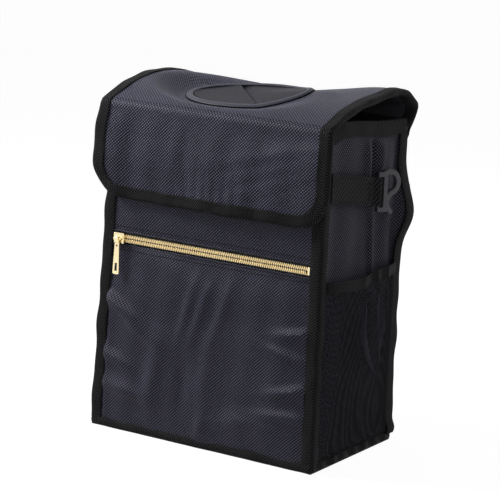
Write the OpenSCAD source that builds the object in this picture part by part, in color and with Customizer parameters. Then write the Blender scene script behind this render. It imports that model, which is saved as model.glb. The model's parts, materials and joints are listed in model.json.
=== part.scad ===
// Soft-sided car trash bin: five stiffened fabric panels bound with tape, an open-topped
// liner, a zipped front pocket, a mesh pocket and a strap hook on each side, belt loops
// behind, and a hinged lid with a slit rubber insert and a fold-down front flap.
// Frame: +X to the right seen from the front, +Y to the back, +Z up, floor at z = 0.

/* [Body] */
// Width of the body at the floor
base_w = 226; // [190:1:280]
// Width of the body at the rim
top_w = 212; // [180:1:226]
// Depth of the body, front face to back face
body_d = 144; // [110:1:200]
// Height of the rim above the floor
body_h = 290; // [250:1:380]
// Thickness of one layer of outer fabric
fabric_t = 1.2; // [0.8:0.1:2]
// Thickness of the stiffening boards in the walls and base
board_t = 2.8; // [1.5:0.1:5]
// Thickness of the waterproof liner
liner_t = 0.8; // [0.5:0.1:1.5]

/* [Binding] */
// Width of binding tape that shows on each side of an edge
bind_w = 9.5; // [7:0.5:14]
// Thickness of the binding tape
tape_t = 1.2; // [0.6:0.1:2]
// Height of the tape that rims the opening
rim_tape_h = 12; // [8:0.5:20]
// Height of the tape round the base
foot_tape_h = 8; // [6:0.5:14]
// How far the base tape stands proud of the walls
foot_tape_t = 2.4; // [1.4:0.1:4]

/* [Front pocket] */
// Depth of the zip below the rim
zip_drop = 117; // [100:1:200]
// Height of the slot that the zip shows through
zip_slot_h = 12; // [9:0.5:18]
// Height of the two rows of teeth together
teeth_h = 7; // [5:0.2:9]
// How far the teeth stand out of the fabric
teeth_out = 0.9; // [0.4:0.1:1.8]
// Thickness of the zip's woven tape
zip_tape_t = 0.6; // [0.3:0.1:0.8]
// How far the woven tape runs on behind the fabric
zip_lap = 8; // [4:0.5:14]
// Empty space in the flat pocket
pocket_gap = 0.9; // [0.8:0.1:3]
// Width of the end stops of the zip
stop_w = 2; // [1:0.5:4]
// Length of the zip slider
slider_l = 10; // [8:0.5:14]
// Height of the zip slider
slider_h = 9; // [7.5:0.5:12]
// Thickness of the zip slider's front plate
slider_t = 1.8; // [1.2:0.1:3]
// Radius of the bar that carries the pull
bridge_r = 0.8; // [0.6:0.1:1.2]
// Length of the pull below its pivot
pull_l = 32; // [26:1:46]
// Width of the pull
pull_w = 6.6; // [5:0.2:9]
// Thickness of the pull
pull_t = 1.4; // [1:0.1:2.2]

/* [Side pockets] */
// Depth of the mesh pocket's elastic band below the rim
band_drop = 126; // [105:1:180]
// Height of the elastic band
band_h = 10; // [6:1:16]
// Thickness of the elastic band
band_t = 1.6; // [1:0.1:2.5]
// Thickness of the mesh
mesh_t = 0.8; // [0.5:0.1:1.5]
// Room in the mesh pocket, from the wall outwards
pocket_room = 7.5; // [6.5:0.5:14]

/* [Straps and hooks] */
// Width of the webbing
strap_w = 25; // [20:1:30]
// Thickness of the webbing
strap_t = 1.6; // [1:0.1:2.2]
// Depth of the strap's middle below the rim where it leaves the front corner
strap_drop = 47.5; // [40:0.5:75]
// Angle at which the strap droops towards the back
strap_droop = 7.6; // [0:0.2:12]
// Distance of the hook's pivot behind the middle of the side
hook_y = 18; // [0:1:30]
// Angle of the hook out from the wall at rest
hook_turn = 25; // [0:1:60]
// Thickness of the hook
hook_t = 4; // [3:0.2:6]
// Radius of the hook's pivot bar
hook_bar_r = 1.6; // [1.2:0.1:2]
// Width of the hook's curved arm
hook_arm_w = 4.4; // [3:0.2:5]
// Radius of the curves of the hook's arm
hook_lobe_r = 9.4; // [8.5:0.1:12]
// Depth of the middle of the belt loops below the rim
loop_drop = 72.5; // [60:0.5:170]
// How far the belt loops stand off the back
loop_out = 20; // [14:0.5:30]

/* [Lid] */
// Width of the lid without its binding
lid_w = 228; // [200:1:300]
// Thickness of the lid's three layers together
lid_t = 4; // [3.4:0.1:6]
// Radius of the lid's arch, front to back
lid_r = 188.8; // [150:1:260]
// Height of the flap's crease above the rim
crease_rise = 1.8; // [1:0.1:12]
// Distance of the arch's crest behind the middle
crest_y = 8; // [0:1:20]
// How far the arch runs out behind the body
lid_reach = 12; // [8:0.5:20]
// Radius of the roll at the back of the lid
roll_r = 9; // [6:0.5:12]
// Depth of the lid's hinge line below the rim
hinge_drop = 18; // [14:0.5:26]
// Height of the sewn strip under the hinge line
seam_h = 11; // [6:0.5:20]
// Distance of the sewn strip's edge below the hinge line
seam_gap = 2.8; // [2.6:0.1:4]
// Thickness of the sewn strip
seam_t = 2.6; // [1.6:0.1:2.8]
// Width of the tape on the lid and flap edges
lid_bind_w = 10; // [7:0.5:14]
// Thickness of the tape on the lid and flap edges
lid_tape_t = 1; // [0.6:0.1:1.4]
// Length of the front flap below the fold
flap_l = 82; // [60:1:95]
// Radius of the flap's lower corners
flap_r = 28; // [10:1:50]
// Space between the flap and the front of the body
flap_space = 4; // [3:0.1:8]

/* [Rubber insert] */
// Half length of the insert, side to side
insert_a = 60; // [45:0.5:66]
// Half width of the insert, front to back
insert_b = 38; // [28:0.5:44]
// Distance of the insert's middle left of the middle of the body
insert_x = 7; // [0:0.5:10]
// Distance of the insert's middle in front of the middle of the body
insert_y = 10; // [0:0.5:10]
// Depth of the insert's middle below the lid's crest
insert_drop = 12; // [4:0.5:13]
// Slope of the insert up towards the back
insert_slope = 0.17; // [0:0.01:0.2]
// Slope of the insert up towards the right
insert_lean = 0.04; // [0:0.01:0.08]
// Width of the raised rim
ring_w = 6; // [4:0.5:9]
// Height of the raised rim
ring_h = 2.6; // [2:0.1:4]
// Thickness of the rubber leaves
leaf_t = 1.6; // [1:0.1:2]
// Angle of the slit, seen from above
slit_angle = 131; // [90:1:150]
// Width of the slit
slit_w = 1.2; // [0.8:0.1:3]
// Distance of each leaf's bend from the slit
leaf_root = 26; // [18:0.5:30]

/* [Clearances] */
// Space between pieces that move past each other
move_gap = 0.3; // [0.2:0.05:0.5]
// Space round the rubber leaves
leaf_gap = 0.5; // [0.3:0.05:1]
// Extra radius of the pull's eye on its bar
pull_play = 0.25; // [0.1:0.05:0.4]

/* [Hidden] */
$fn = 48;

half_d = body_d / 2;
taper_deg = atan((base_w - top_w) / 2 / body_h);
function half_w(z) = base_w / 2 - (base_w - top_w) / 2 * z / body_h;

// layers of the walls, counted in from the outer faces
wall_t = fabric_t + board_t + liner_t;
front_skin_y = -half_d + fabric_t + pocket_gap;
front_board_y = front_skin_y + fabric_t;
front_liner_y = front_board_y + board_t;
front_in_y = front_liner_y + liner_t;
back_board_y = half_d - fabric_t;
back_liner_y = back_board_y - board_t;
back_in_y = back_liner_y - liner_t;
liner_z = fabric_t + board_t;
corner_top_z = body_h - rim_tape_h;

// zip
zip_z = body_h - zip_drop;
zip_low_z = zip_z - zip_slot_h / 2;
zip_high_z = zip_z + zip_slot_h / 2;
zip_end_x = half_w(zip_z) - bind_w - move_gap;
slider_x = -zip_end_x + stop_w + move_gap + slider_l / 2;
teeth_face_y = -half_d - teeth_out;
slider_face_y = teeth_face_y - move_gap - slider_t;
eye_r = bridge_r + pull_play + 0.9;
bridge_y = slider_face_y - eye_r - 0.2;
bridge_half = 2.4;

// side pockets
band_top_z = body_h - band_drop;
pocket_half = half_d - bind_w - move_gap;

// straps and hooks
strap_z = body_h - strap_drop;
loop_z = body_h - loop_drop;
hook_axis_w = hook_bar_r + move_gap + strap_t + move_gap;
strap_start = -half_d + bind_w + move_gap;
hook_z = strap_z - (hook_y - strap_start) * tan(strap_droop);
hook_frame = strap_w / 2 + 0.8;
hook_bar_x = hook_bar_r + move_gap + strap_t + 0.7;
hook_bar_w = 4;
lobe_start = 122;
lobe_turn = -68;
lobe_end = 238;
lobe_x = 10.5;
lobe_z = 8;
loop_turn_r = 8;
loop_post_x = half_w(loop_z) - strap_t;
loop_tab = 16;

// lid
flap_y = -half_d - flap_space - lid_t / 2;
arc_y = crest_y;
fold_deg = asin((flap_y - arc_y) / lid_r);
fold_z = body_h + crease_rise;
arc_z = fold_z - lid_r * cos(fold_deg);
fold_gap = lid_t / 2 + move_gap;
lid_start_deg = fold_deg + fold_gap / lid_r * 180 / PI;
lid_end_y = half_d + lid_reach;
lid_end_deg = asin((lid_end_y - arc_y) / lid_r);
roll_y = lid_end_y - roll_r * sin(lid_end_deg);
roll_z = arc_z + lid_r * cos(lid_end_deg) - roll_r * cos(lid_end_deg);
roll_end_deg = 135;
hinge_y = half_d + tape_t + move_gap + lid_t / 2;
hinge_z = body_h - hinge_drop;
arc_steps = 20;
roll_steps = 6;
tail_steps = 2;
lid_cells = 20;
skin_t = 1.2;
lining_t = 0.8;
tail_hold = 4;
patch_t = (flap_space - move_gap) / 2;
patch_w = 58;
patch_h = 20;
patch_x = 52;
patch_z = fold_z - flap_l + lid_bind_w + patch_h / 2 + 3;
bind_clear = lid_t / 2 + lid_tape_t + move_gap;

// insert
insert_z = arc_z + lid_r + lid_t / 2 - insert_drop;
lean_deg = -atan(insert_lean);
slope_deg = atan(insert_slope * cos(lean_deg));
sheet_lap = 1.5;
flat_out = 1.1;
blend_out = 1.73;
blend_a = insert_a * 0.93;

// the lid is centred over the depth by shifting the whole model
reach_front = half_d + flap_space + lid_t + lid_tape_t;
reach_back = half_d + tape_t + loop_out + strap_t / 2;
shift_y = (reach_front - reach_back) / 2;

// a flat shape drawn in x and z, carried from y0 back to y1
module in_xz(y0, y1) {
    translate([0, y1, 0])
        rotate([90, 0, 0])
            linear_extrude(y1 - y0)
                children();
}

// a tapered front or back layer, held in from the side faces by inset
module face_slab(y0, y1, z0, z1, inset) {
    in_xz(y0, y1)
        polygon([[-half_w(z0) + inset, z0], [half_w(z0) - inset, z0],
                 [half_w(z1) - inset, z1], [-half_w(z1) + inset, z1]]);
}

// a leaning right-hand side layer between two distances outside the side face
module side_slab(out0, out1, y0, y1, z0, z1) {
    in_xz(y0, y1)
        polygon([[half_w(z0) + out0, z0], [half_w(z0) + out1, z0],
                 [half_w(z1) + out1, z1], [half_w(z1) + out0, z1]]);
}

module on_left() {
    mirror([1, 0, 0])
        children();
}

// the right side face: x outwards, y back, z up along the face
module on_side() {
    translate([base_w / 2, 0, 0])
        rotate([0, -taper_deg, 0])
            children();
}

module placed() {
    translate([0, shift_y, 0])
        children();
}

// Walls and base
module base_panel() {
    color("#2c2b33")
        face_slab(front_board_y, back_board_y, 0, fabric_t, fabric_t);
}

module base_board() {
    color("#8a8a88")
        face_slab(front_liner_y, back_liner_y, fabric_t, liner_z, fabric_t + board_t);
}

module front_panel() {
    color("#2c2b33")
        face_slab(front_skin_y, front_board_y, 0, body_h, fabric_t);
}

module front_board() {
    color("#8a8a88")
        face_slab(front_board_y, front_liner_y, fabric_t, body_h, fabric_t + board_t);
}

module pocket_panel() {
    color("#2f2e38")
        face_slab(-half_d, -half_d + fabric_t, 0, zip_low_z, fabric_t);
}

module front_upper() {
    color("#2f2e38")
        face_slab(-half_d, -half_d + fabric_t, zip_high_z, body_h, fabric_t);
}

module back_panel() {
    color("#2c2b33")
        face_slab(back_board_y, half_d, 0, body_h, fabric_t);
}

module back_board() {
    color("#8a8a88")
        face_slab(back_liner_y, back_board_y, fabric_t, body_h, fabric_t + board_t);
}

module right_panel() {
    color("#2c2b33")
        side_slab(-fabric_t, 0, -half_d, half_d, 0, body_h);
}

module left_panel() {
    on_left()
        right_panel();
}

module right_board() {
    color("#8a8a88")
        side_slab(-fabric_t - board_t, -fabric_t, front_board_y, back_board_y, fabric_t, body_h);
}

module left_board() {
    on_left()
        right_board();
}

module liner() {
    color("#55565a")
        difference() {
            face_slab(front_liner_y, back_liner_y, liner_z, body_h, fabric_t + board_t);
            face_slab(front_in_y, back_in_y, liner_z + liner_t, body_h + 1, wall_t);
        }
}

// Binding tapes
module rim_binding() {
    color("#1b1b1d")
        difference() {
            face_slab(-half_d - tape_t, half_d + tape_t, corner_top_z, body_h + tape_t, -tape_t);
            face_slab(front_in_y + tape_t, back_in_y - tape_t, corner_top_z - 1,
                      body_h + tape_t + 1, wall_t + tape_t);
            difference() {
                face_slab(-half_d, half_d, corner_top_z - 1, body_h, 0);
                face_slab(front_in_y, back_in_y, corner_top_z - 2, body_h + 1, wall_t);
            }
        }
}

module base_binding() {
    color("#1b1b1d")
        difference() {
            face_slab(-half_d - foot_tape_t, half_d + foot_tape_t, 0, foot_tape_h, -foot_tape_t);
            face_slab(-half_d, half_d, -1, foot_tape_h + 1, 0);
        }
}

module corner_front_right() {
    color("#1b1b1d")
        union() {
            side_slab(-bind_w, tape_t, -half_d - tape_t, -half_d, foot_tape_h, corner_top_z);
            side_slab(0, tape_t, -half_d - tape_t, -half_d + bind_w, foot_tape_h, corner_top_z);
        }
}

module corner_front_left() {
    on_left()
        corner_front_right();
}

module corner_back_right() {
    mirror([0, 1, 0])
        corner_front_right();
}

module corner_back_left() {
    on_left()
        corner_back_right();
}

// Zip of the front pocket
module zip_tape(z0, z1) {
    color("#1d1d20")
        face_slab(-half_d + fabric_t, -half_d + fabric_t + zip_tape_t, z0, z1, bind_w);
}

module zip_tape_lower() {
    zip_tape(zip_low_z - zip_lap, zip_z - move_gap / 2);
}

module zip_tape_upper() {
    zip_tape(zip_z + move_gap / 2, zip_high_z + zip_lap);
}

module zip_teeth(z0, z1) {
    color("#cdb072")
        in_xz(teeth_face_y, -half_d + fabric_t)
            translate([-zip_end_x + stop_w, z0])
                square([2 * (zip_end_x - stop_w), z1 - z0]);
}

module zip_teeth_lower() {
    zip_teeth(zip_z - teeth_h / 2, zip_z - move_gap / 2);
}

module zip_teeth_upper() {
    zip_teeth(zip_z + move_gap / 2, zip_z + teeth_h / 2);
}

module zip_stops() {
    color("#cdb072")
        for (side = [-1, 1])
            in_xz(teeth_face_y, -half_d + fabric_t)
                translate([side * (zip_end_x - stop_w / 2), zip_z])
                    square([stop_w, teeth_h], center = true);
}

module zip_slider() {
    color("#cdb072")
        translate([slider_x, 0, 0])
            union() {
                in_xz(slider_face_y, teeth_face_y - move_gap)
                    translate([0, zip_z])
                        square([slider_l, slider_h], center = true);
                for (side = [-1, 1])
                    in_xz(bridge_y - bridge_r, slider_face_y)
                        translate([side * (bridge_half + bridge_r), zip_z])
                            square([2 * bridge_r, 2 * bridge_r], center = true);
                translate([-bridge_half - bridge_r, bridge_y, zip_z])
                    rotate([0, 90, 0])
                        cylinder(r = bridge_r, h = 2 * (bridge_half + bridge_r), $fn = 24);
            }
}

module pull_tab() {
    eye_half = bridge_half - move_gap;
    neck_l = eye_r + 2.5;
    color("#cdb072")
        translate([slider_x, bridge_y, zip_z])
            difference() {
                union() {
                    translate([-eye_half, 0, 0])
                        rotate([0, 90, 0])
                            cylinder(r = eye_r, h = 2 * eye_half, $fn = 32);
                    in_xz(-pull_t / 2, pull_t / 2)
                        translate([-eye_half, -neck_l])
                            square([2 * eye_half, neck_l]);
                    in_xz(-pull_t / 2, pull_t / 2)
                        pull_outline(neck_l - 1);
                }
                translate([-pull_w, 0, 0])
                    rotate([0, 90, 0])
                        cylinder(r = bridge_r + pull_play, h = 2 * pull_w, $fn = 32);
            }
}

// the flat of the pull: rounded corners, a small hole near the top and a window near the tip
module pull_outline(top) {
    slot_l = 7;
    slot_r = 1.3;
    corner_r = 1.5;
    slot_z = -pull_l + 3;
    difference() {
        union() {
            translate([-pull_w / 2, -pull_l + corner_r])
                square([pull_w, pull_l - corner_r - top - 1]);
            translate([-pull_w / 2 + corner_r, -pull_l])
                square([pull_w - 2 * corner_r, corner_r + 1]);
            for (side = [-1, 1])
                translate([side * (pull_w / 2 - corner_r), -pull_l + corner_r])
                    circle(r = corner_r);
            translate([-pull_w / 2 + 1, -top - 1])
                square([pull_w - 2, 1]);
        }
        translate([0, -top - 3])
            circle(r = 1.1);
        translate([-slot_r, slot_z])
            square([2 * slot_r, slot_l]);
    }
}

// Side pockets
module mesh_pocket_right() {
    mesh_top = band_top_z - band_h;
    color("#232326")
        difference() {
            side_slab(0, pocket_room + mesh_t, -pocket_half, pocket_half, foot_tape_h, mesh_top);
            side_slab(-1, pocket_room, -pocket_half + mesh_t, pocket_half - mesh_t,
                      foot_tape_h + mesh_t, mesh_top + 1);
        }
}

module mesh_pocket_left() {
    on_left()
        mesh_pocket_right();
}

module pocket_band_right() {
    band_low = band_top_z - band_h;
    color("#1b1b1d")
        difference() {
            side_slab(0, pocket_room + band_t, -pocket_half, pocket_half, band_low, band_top_z);
            side_slab(-1, pocket_room, -pocket_half + band_t, pocket_half - band_t,
                      band_low - 1, band_top_z + 1);
        }
}

module pocket_band_left() {
    on_left()
        pocket_band_right();
}

// Side straps with their hooks
module strap_right() {
    run = hook_y - strap_start;
    eye_out = hook_bar_r + move_gap + strap_t;
    color("#1b1b1d")
        on_side()
            difference() {
                union() {
                    intersection() {
                        translate([0, strap_start, strap_z])
                            rotate([-strap_droop, 0, 0])
                                translate([0, -strap_w / 2, -strap_w / 2])
                                    cube([strap_t, run + strap_w, strap_w]);
                        translate([0, strap_start, 0])
                            cube([strap_t, run, body_h]);
                    }
                    translate([hook_axis_w, hook_y, hook_z - strap_w / 2])
                        cylinder(r = eye_out, h = strap_w);
                }
                translate([hook_axis_w, hook_y, hook_z - strap_w])
                    cylinder(r = hook_bar_r + move_gap, h = 2 * strap_w);
                translate([-1, hook_y - eye_out, hook_z + strap_w / 2])
                    cube([strap_w, 2 * eye_out, strap_w]);
                translate([-1, hook_y - eye_out, hook_z - 1.5 * strap_w])
                    cube([strap_w, 2 * eye_out, strap_w]);
            }
}

module strap_left() {
    on_left()
        strap_right();
}

function arc_points(centre, r, a0, a1, steps) =
    [for (i = [0 : steps]) let(a = a0 + (a1 - a0) * i / steps) centre + r * [cos(a), sin(a)]];

function reversed(list) = [for (i = [len(list) - 1 : -1 : 0]) list[i]];

// a band of even width along an arc, with round ends
module arc_band(centre, r, w, a0, a1) {
    polygon(concat(arc_points(centre, r + w / 2, a0, a1, 24),
                   reversed(arc_points(centre, r - w / 2, a0, a1, 24))));
    for (a = [a0, a1])
        translate(centre + r * [cos(a), sin(a)])
            circle(d = w);
}

// the hook seen flat: a frame for the webbing, then an arm curved like an S
module hook_outline() {
    upper = [lobe_x, lobe_z];
    lower = upper + 2 * hook_lobe_r * [cos(lobe_turn), sin(lobe_turn)];
    frame_top = hook_frame + hook_t;
    for (z0 = [hook_frame, -frame_top])
        translate([-hook_bar_r, z0])
            square([hook_bar_x + hook_bar_w + hook_bar_r, hook_t]);
    translate([hook_bar_x, -frame_top])
        square([hook_bar_w, 2 * frame_top]);
    arc_band(upper, hook_lobe_r, hook_arm_w, lobe_start, lobe_turn);
    arc_band(lower, hook_lobe_r, hook_arm_w, 180 + lobe_turn, lobe_end);
}

module hook_right() {
    frame_top = hook_frame + hook_t;
    color("#4a4b50")
        on_side()
            translate([hook_axis_w, hook_y, hook_z])
                rotate([0, 0, -hook_turn])
                    union() {
                        translate([-hook_t / 2, 0, 0])
                            rotate([90, 0, 90])
                                linear_extrude(hook_t)
                                    hook_outline();
                        translate([0, 0, -frame_top])
                            cylinder(r = hook_bar_r, h = 2 * frame_top);
                    }
}

module hook_left() {
    on_left()
        hook_right();
}

function mirrored(list) = [for (p = list) [-p[0], p[1]]];

// one edge of a belt loop, from its corner post to its middle tab, off the strap's middle
function loop_edge(off) =
    let(face_y = half_d + tape_t,
        turn_c = [loop_post_x - loop_turn_r, face_y + loop_out - loop_turn_r])
    concat([[loop_post_x + off, face_y]],
           arc_points(turn_c, loop_turn_r + off, 0, 98, 12),
           [[loop_tab, half_d + strap_t / 2 + off]]);

// Belt loops on the back: one webbing, sewn at the corners and in the middle
module back_strap() {
    outer = loop_edge(strap_t / 2);
    inner = loop_edge(-strap_t / 2);
    color("#1b1b1d")
        translate([0, 0, loop_z - strap_w / 2])
            linear_extrude(strap_w)
                polygon(concat(outer, reversed(mirrored(outer)), mirrored(inner), reversed(inner)));
}

// Lid
lid_path = concat(
    [for (i = [0 : arc_steps])
        let(a = lid_start_deg + (lid_end_deg - lid_start_deg) * i / arc_steps)
        [arc_y + lid_r * sin(a), arc_z + lid_r * cos(a)]],
    [for (i = [1 : roll_steps])
        let(a = lid_end_deg + (roll_end_deg - lid_end_deg) * i / roll_steps)
        [roll_y + roll_r * sin(a), roll_z + roll_r * cos(a)]]);
roll_end = lid_path[len(lid_path) - 1];
tail_run = norm([hinge_y, hinge_z] - roll_end);
tail_dir = ([hinge_y, hinge_z] - roll_end) / tail_run;
tail_top = roll_end + tail_dir * (tail_run - tail_hold);
tail_path = [for (i = [1 : tail_steps]) roll_end + (tail_top - roll_end) * i / tail_steps];
sheet_path = concat(lid_path, tail_path);
skin_path = concat(sheet_path, [tail_top + tail_dir * tail_hold / 2]);

function clamp01(v) = min(1, max(0, v));
function smooth01(v) = v * v * (3 - 2 * v);
function insert_plane(x, y) = insert_z + insert_lean * (x + insert_x) + insert_slope * (y + insert_y);
function arch_top(y) = arc_z + sqrt((lid_r + lid_t / 2) ^ 2 - (y - arc_y) ^ 2);
function insert_rho(x, y) = norm([(x + insert_x) / blend_a, (y + insert_y) / insert_b]);

// the lid sags from its arch to the insert's plane, fading out towards the edges
function sag(x, y) =
    let(rho = insert_rho(x, y))
    rho > blend_out ? 0 :
    (arch_top(y) - insert_plane(x, y))
    * (1 - smooth01(clamp01((rho - flat_out) / (blend_out - flat_out))));

function path_tangent(path, j) =
    let(a = path[max(j - 1, 0)], b = path[min(j + 1, len(path) - 1)]) (b - a) / norm(b - a);
function path_side(path, j, off) =
    let(t = path_tangent(path, j)) path[j] + off * [-t[1], t[0]];

// a sheet along a path between two distances from the path
module lid_sheet(path, low, high) {
    nj = len(path) - 1;
    ni = lid_cells;
    row = ni + 1;
    layer = (nj + 1) * row;
    points = [for (off = [high, low]) for (j = [0 : nj])
        let(p = path_side(path, j, off))
        for (i = [0 : ni])
            let(x = -lid_w / 2 + lid_w * i / ni)
            [x, p[0], p[1] - sag(x, p[0])]];
    faces = concat(
        [for (j = [0 : nj - 1]) for (i = [0 : ni - 1])
            let(a = j * row + i) for (f = [[a, a + row + 1, a + 1], [a, a + row, a + row + 1]]) f],
        [for (j = [0 : nj - 1]) for (i = [0 : ni - 1])
            let(a = layer + j * row + i) for (f = [[a, a + 1, a + row + 1], [a, a + row + 1, a + row]]) f],
        [for (i = [0 : ni - 1]) [i, i + 1, layer + i + 1, layer + i]],
        [for (i = [0 : ni - 1]) let(a = nj * row + i) [a + 1, a, layer + a, layer + a + 1]],
        [for (j = [0 : nj - 1]) let(a = j * row) [a + row, a, layer + a, layer + a + row]],
        [for (j = [0 : nj - 1]) let(a = j * row + ni) [a, a + row, layer + a + row, layer + a]]);
    difference() {
        polyhedron(points, faces);
        in_insert() {
            translate([0, 0, -3 * lid_t])
                linear_extrude(6 * lid_t)
                    insert_oval(ring_w - sheet_lap);
            linear_extrude(3 * lid_t)
                insert_oval(-move_gap);
        }
    }
}

module in_insert() {
    translate([-insert_x, -insert_y, insert_z])
        rotate([slope_deg, lean_deg, 0])
            children();
}

// the insert's oval, drawn in by an even distance
module insert_oval(inset) {
    polygon([for (i = [0 : 71])
        let(a = 5 * i) [(insert_a - inset) * cos(a), (insert_b - inset) * sin(a)]]);
}

// the profile of the lid, thickened to either side of its path
module lid_profile(path, half_t) {
    n = len(path) - 1;
    polygon(concat([for (j = [0 : n]) path_side(path, j, half_t)],
                   [for (j = [n : -1 : 0]) path_side(path, j, -half_t)]));
}

// a profile drawn in y and z, carried from x0 across to x1
module along_x(x0, x1) {
    translate([x0, 0, 0])
        rotate([90, 0, 90])
            linear_extrude(x1 - x0)
                children();
}

module lid_top() {
    color("#34333f")
        union() {
            lid_sheet(skin_path, lid_t / 2 - skin_t, lid_t / 2);
            along_x(-lid_w / 2, lid_w / 2)
                lid_profile([tail_top, [hinge_y, hinge_z]], lid_t / 2);
            translate([-lid_w / 2, hinge_y, hinge_z])
                rotate([0, 90, 0])
                    cylinder(d = lid_t, h = lid_w);
        }
}

module lid_board() {
    color("#8a8a88")
        lid_sheet(sheet_path, -lid_t / 2 + lining_t, lid_t / 2 - skin_t);
}

module lid_lining() {
    color("#55565a")
        lid_sheet(sheet_path, -lid_t / 2, -lid_t / 2 + lining_t);
}

module lid_binding() {
    first = 1;
    last = len(sheet_path) - 2;
    path = [for (j = [first : last]) sheet_path[j]];
    color("#1b1b1d")
        for (side = [0, 1])
            mirror([side, 0, 0])
                difference() {
                    along_x(lid_w / 2 - lid_bind_w, lid_w / 2 + lid_tape_t)
                        lid_profile(path, lid_t / 2 + lid_tape_t);
                    along_x(lid_w / 2 - lid_bind_w - 1, lid_w / 2)
                        lid_profile(sheet_path, lid_t / 2);
                }
}

module lid_seam() {
    color("#1b1b1d")
        face_slab(half_d, half_d + seam_t, hinge_z - seam_gap - seam_h, hinge_z - seam_gap,
                  bind_w + move_gap);
}

// Rubber insert
module leaf_region(grow) {
    rotate(slit_angle)
        translate([-insert_a, -leaf_root - grow])
            square([2 * insert_a, 2 * (leaf_root + grow)]);
}

module opening_ring() {
    color("#46464a")
        in_insert()
            union() {
                linear_extrude(ring_h)
                    difference() {
                        insert_oval(0);
                        insert_oval(ring_w);
                    }
                linear_extrude(leaf_t)
                    difference() {
                        insert_oval(ring_w / 2);
                        intersection() {
                            insert_oval(ring_w);
                            leaf_region(leaf_gap);
                        }
                    }
            }
}

module leaf(side) {
    color("#46464a")
        in_insert()
            linear_extrude(leaf_t)
                intersection() {
                    insert_oval(ring_w + leaf_gap);
                    rotate(slit_angle)
                        translate([-insert_a, side > 0 ? slit_w / 2 : -leaf_root])
                            square([2 * insert_a, leaf_root - slit_w / 2]);
                }
}

module leaf_left() {
    leaf(1);
}

module leaf_right() {
    leaf(-1);
}

// Front flap
module flap_shape(grow, top) {
    hw = lid_w / 2 + grow;
    r = flap_r + grow;
    low = fold_z - flap_l - grow;
    translate([-hw, low + r])
        square([2 * hw, top - low - r]);
    translate([-hw + r, low])
        square([2 * (hw - r), r]);
    for (side = [-1, 1])
        translate([side * (hw - r), low + r])
            circle(r = r);
}

module flap_panel() {
    color("#34333f")
        union() {
            in_xz(flap_y - lid_t / 2, flap_y - lid_t / 2 + skin_t)
                flap_shape(0, fold_z);
            translate([-lid_w / 2, flap_y - lid_t / 2, fold_z - tail_hold])
                cube([lid_w, lid_t, tail_hold]);
            translate([-lid_w / 2, flap_y, fold_z])
                rotate([0, 90, 0])
                    cylinder(d = lid_t, h = lid_w);
        }
}

module flap_board() {
    color("#8a8a88")
        in_xz(flap_y - lid_t / 2 + skin_t, flap_y + lid_t / 2 - lining_t)
            flap_shape(0, fold_z - tail_hold);
}

module flap_lining() {
    color("#55565a")
        in_xz(flap_y + lid_t / 2 - lining_t, flap_y + lid_t / 2)
            flap_shape(0, fold_z - tail_hold);
}

module flap_binding() {
    half_t = lid_t / 2 + lid_tape_t;
    top = fold_z - bind_clear;
    color("#1b1b1d")
        difference() {
            in_xz(flap_y - half_t, flap_y + half_t)
                flap_shape(lid_tape_t, top);
            in_xz(flap_y - half_t - 1, flap_y + half_t + 1)
                flap_shape(-lid_bind_w, top + 1);
            in_xz(flap_y - lid_t / 2, flap_y + lid_t / 2)
                flap_shape(0, top + 1);
        }
}

module patches(y0, y1) {
    for (side = [-1, 1])
        in_xz(y0, y1)
            translate([side * patch_x, patch_z])
                square([patch_w, patch_h], center = true);
}

module flap_patches() {
    color("#151517")
        patches(flap_y + lid_t / 2, flap_y + lid_t / 2 + patch_t);
}

module front_patches() {
    color("#151517")
        patches(-half_d - patch_t, -half_d);
}

placed() {
    base_panel();
    base_board();
    front_panel();
    front_board();
    pocket_panel();
    front_upper();
    back_panel();
    back_board();
    left_panel();
    right_panel();
    left_board();
    right_board();
    liner();
    rim_binding();
    base_binding();
    corner_front_left();
    corner_front_right();
    corner_back_left();
    corner_back_right();
    zip_tape_lower();
    zip_tape_upper();
    zip_teeth_lower();
    zip_teeth_upper();
    zip_stops();
    zip_slider();
    pull_tab();
    mesh_pocket_left();
    mesh_pocket_right();
    pocket_band_left();
    pocket_band_right();
    strap_left();
    strap_right();
    hook_left();
    hook_right();
    back_strap();
    lid_seam();
    lid_top();
    lid_board();
    lid_lining();
    lid_binding();
    opening_ring();
    leaf_left();
    leaf_right();
    flap_panel();
    flap_board();
    flap_lining();
    flap_binding();
    flap_patches();
    front_patches();
}
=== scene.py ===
"""The looks of a fabric car trash bin, laid out as an add-on and run as a script."""
import json
import math

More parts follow.
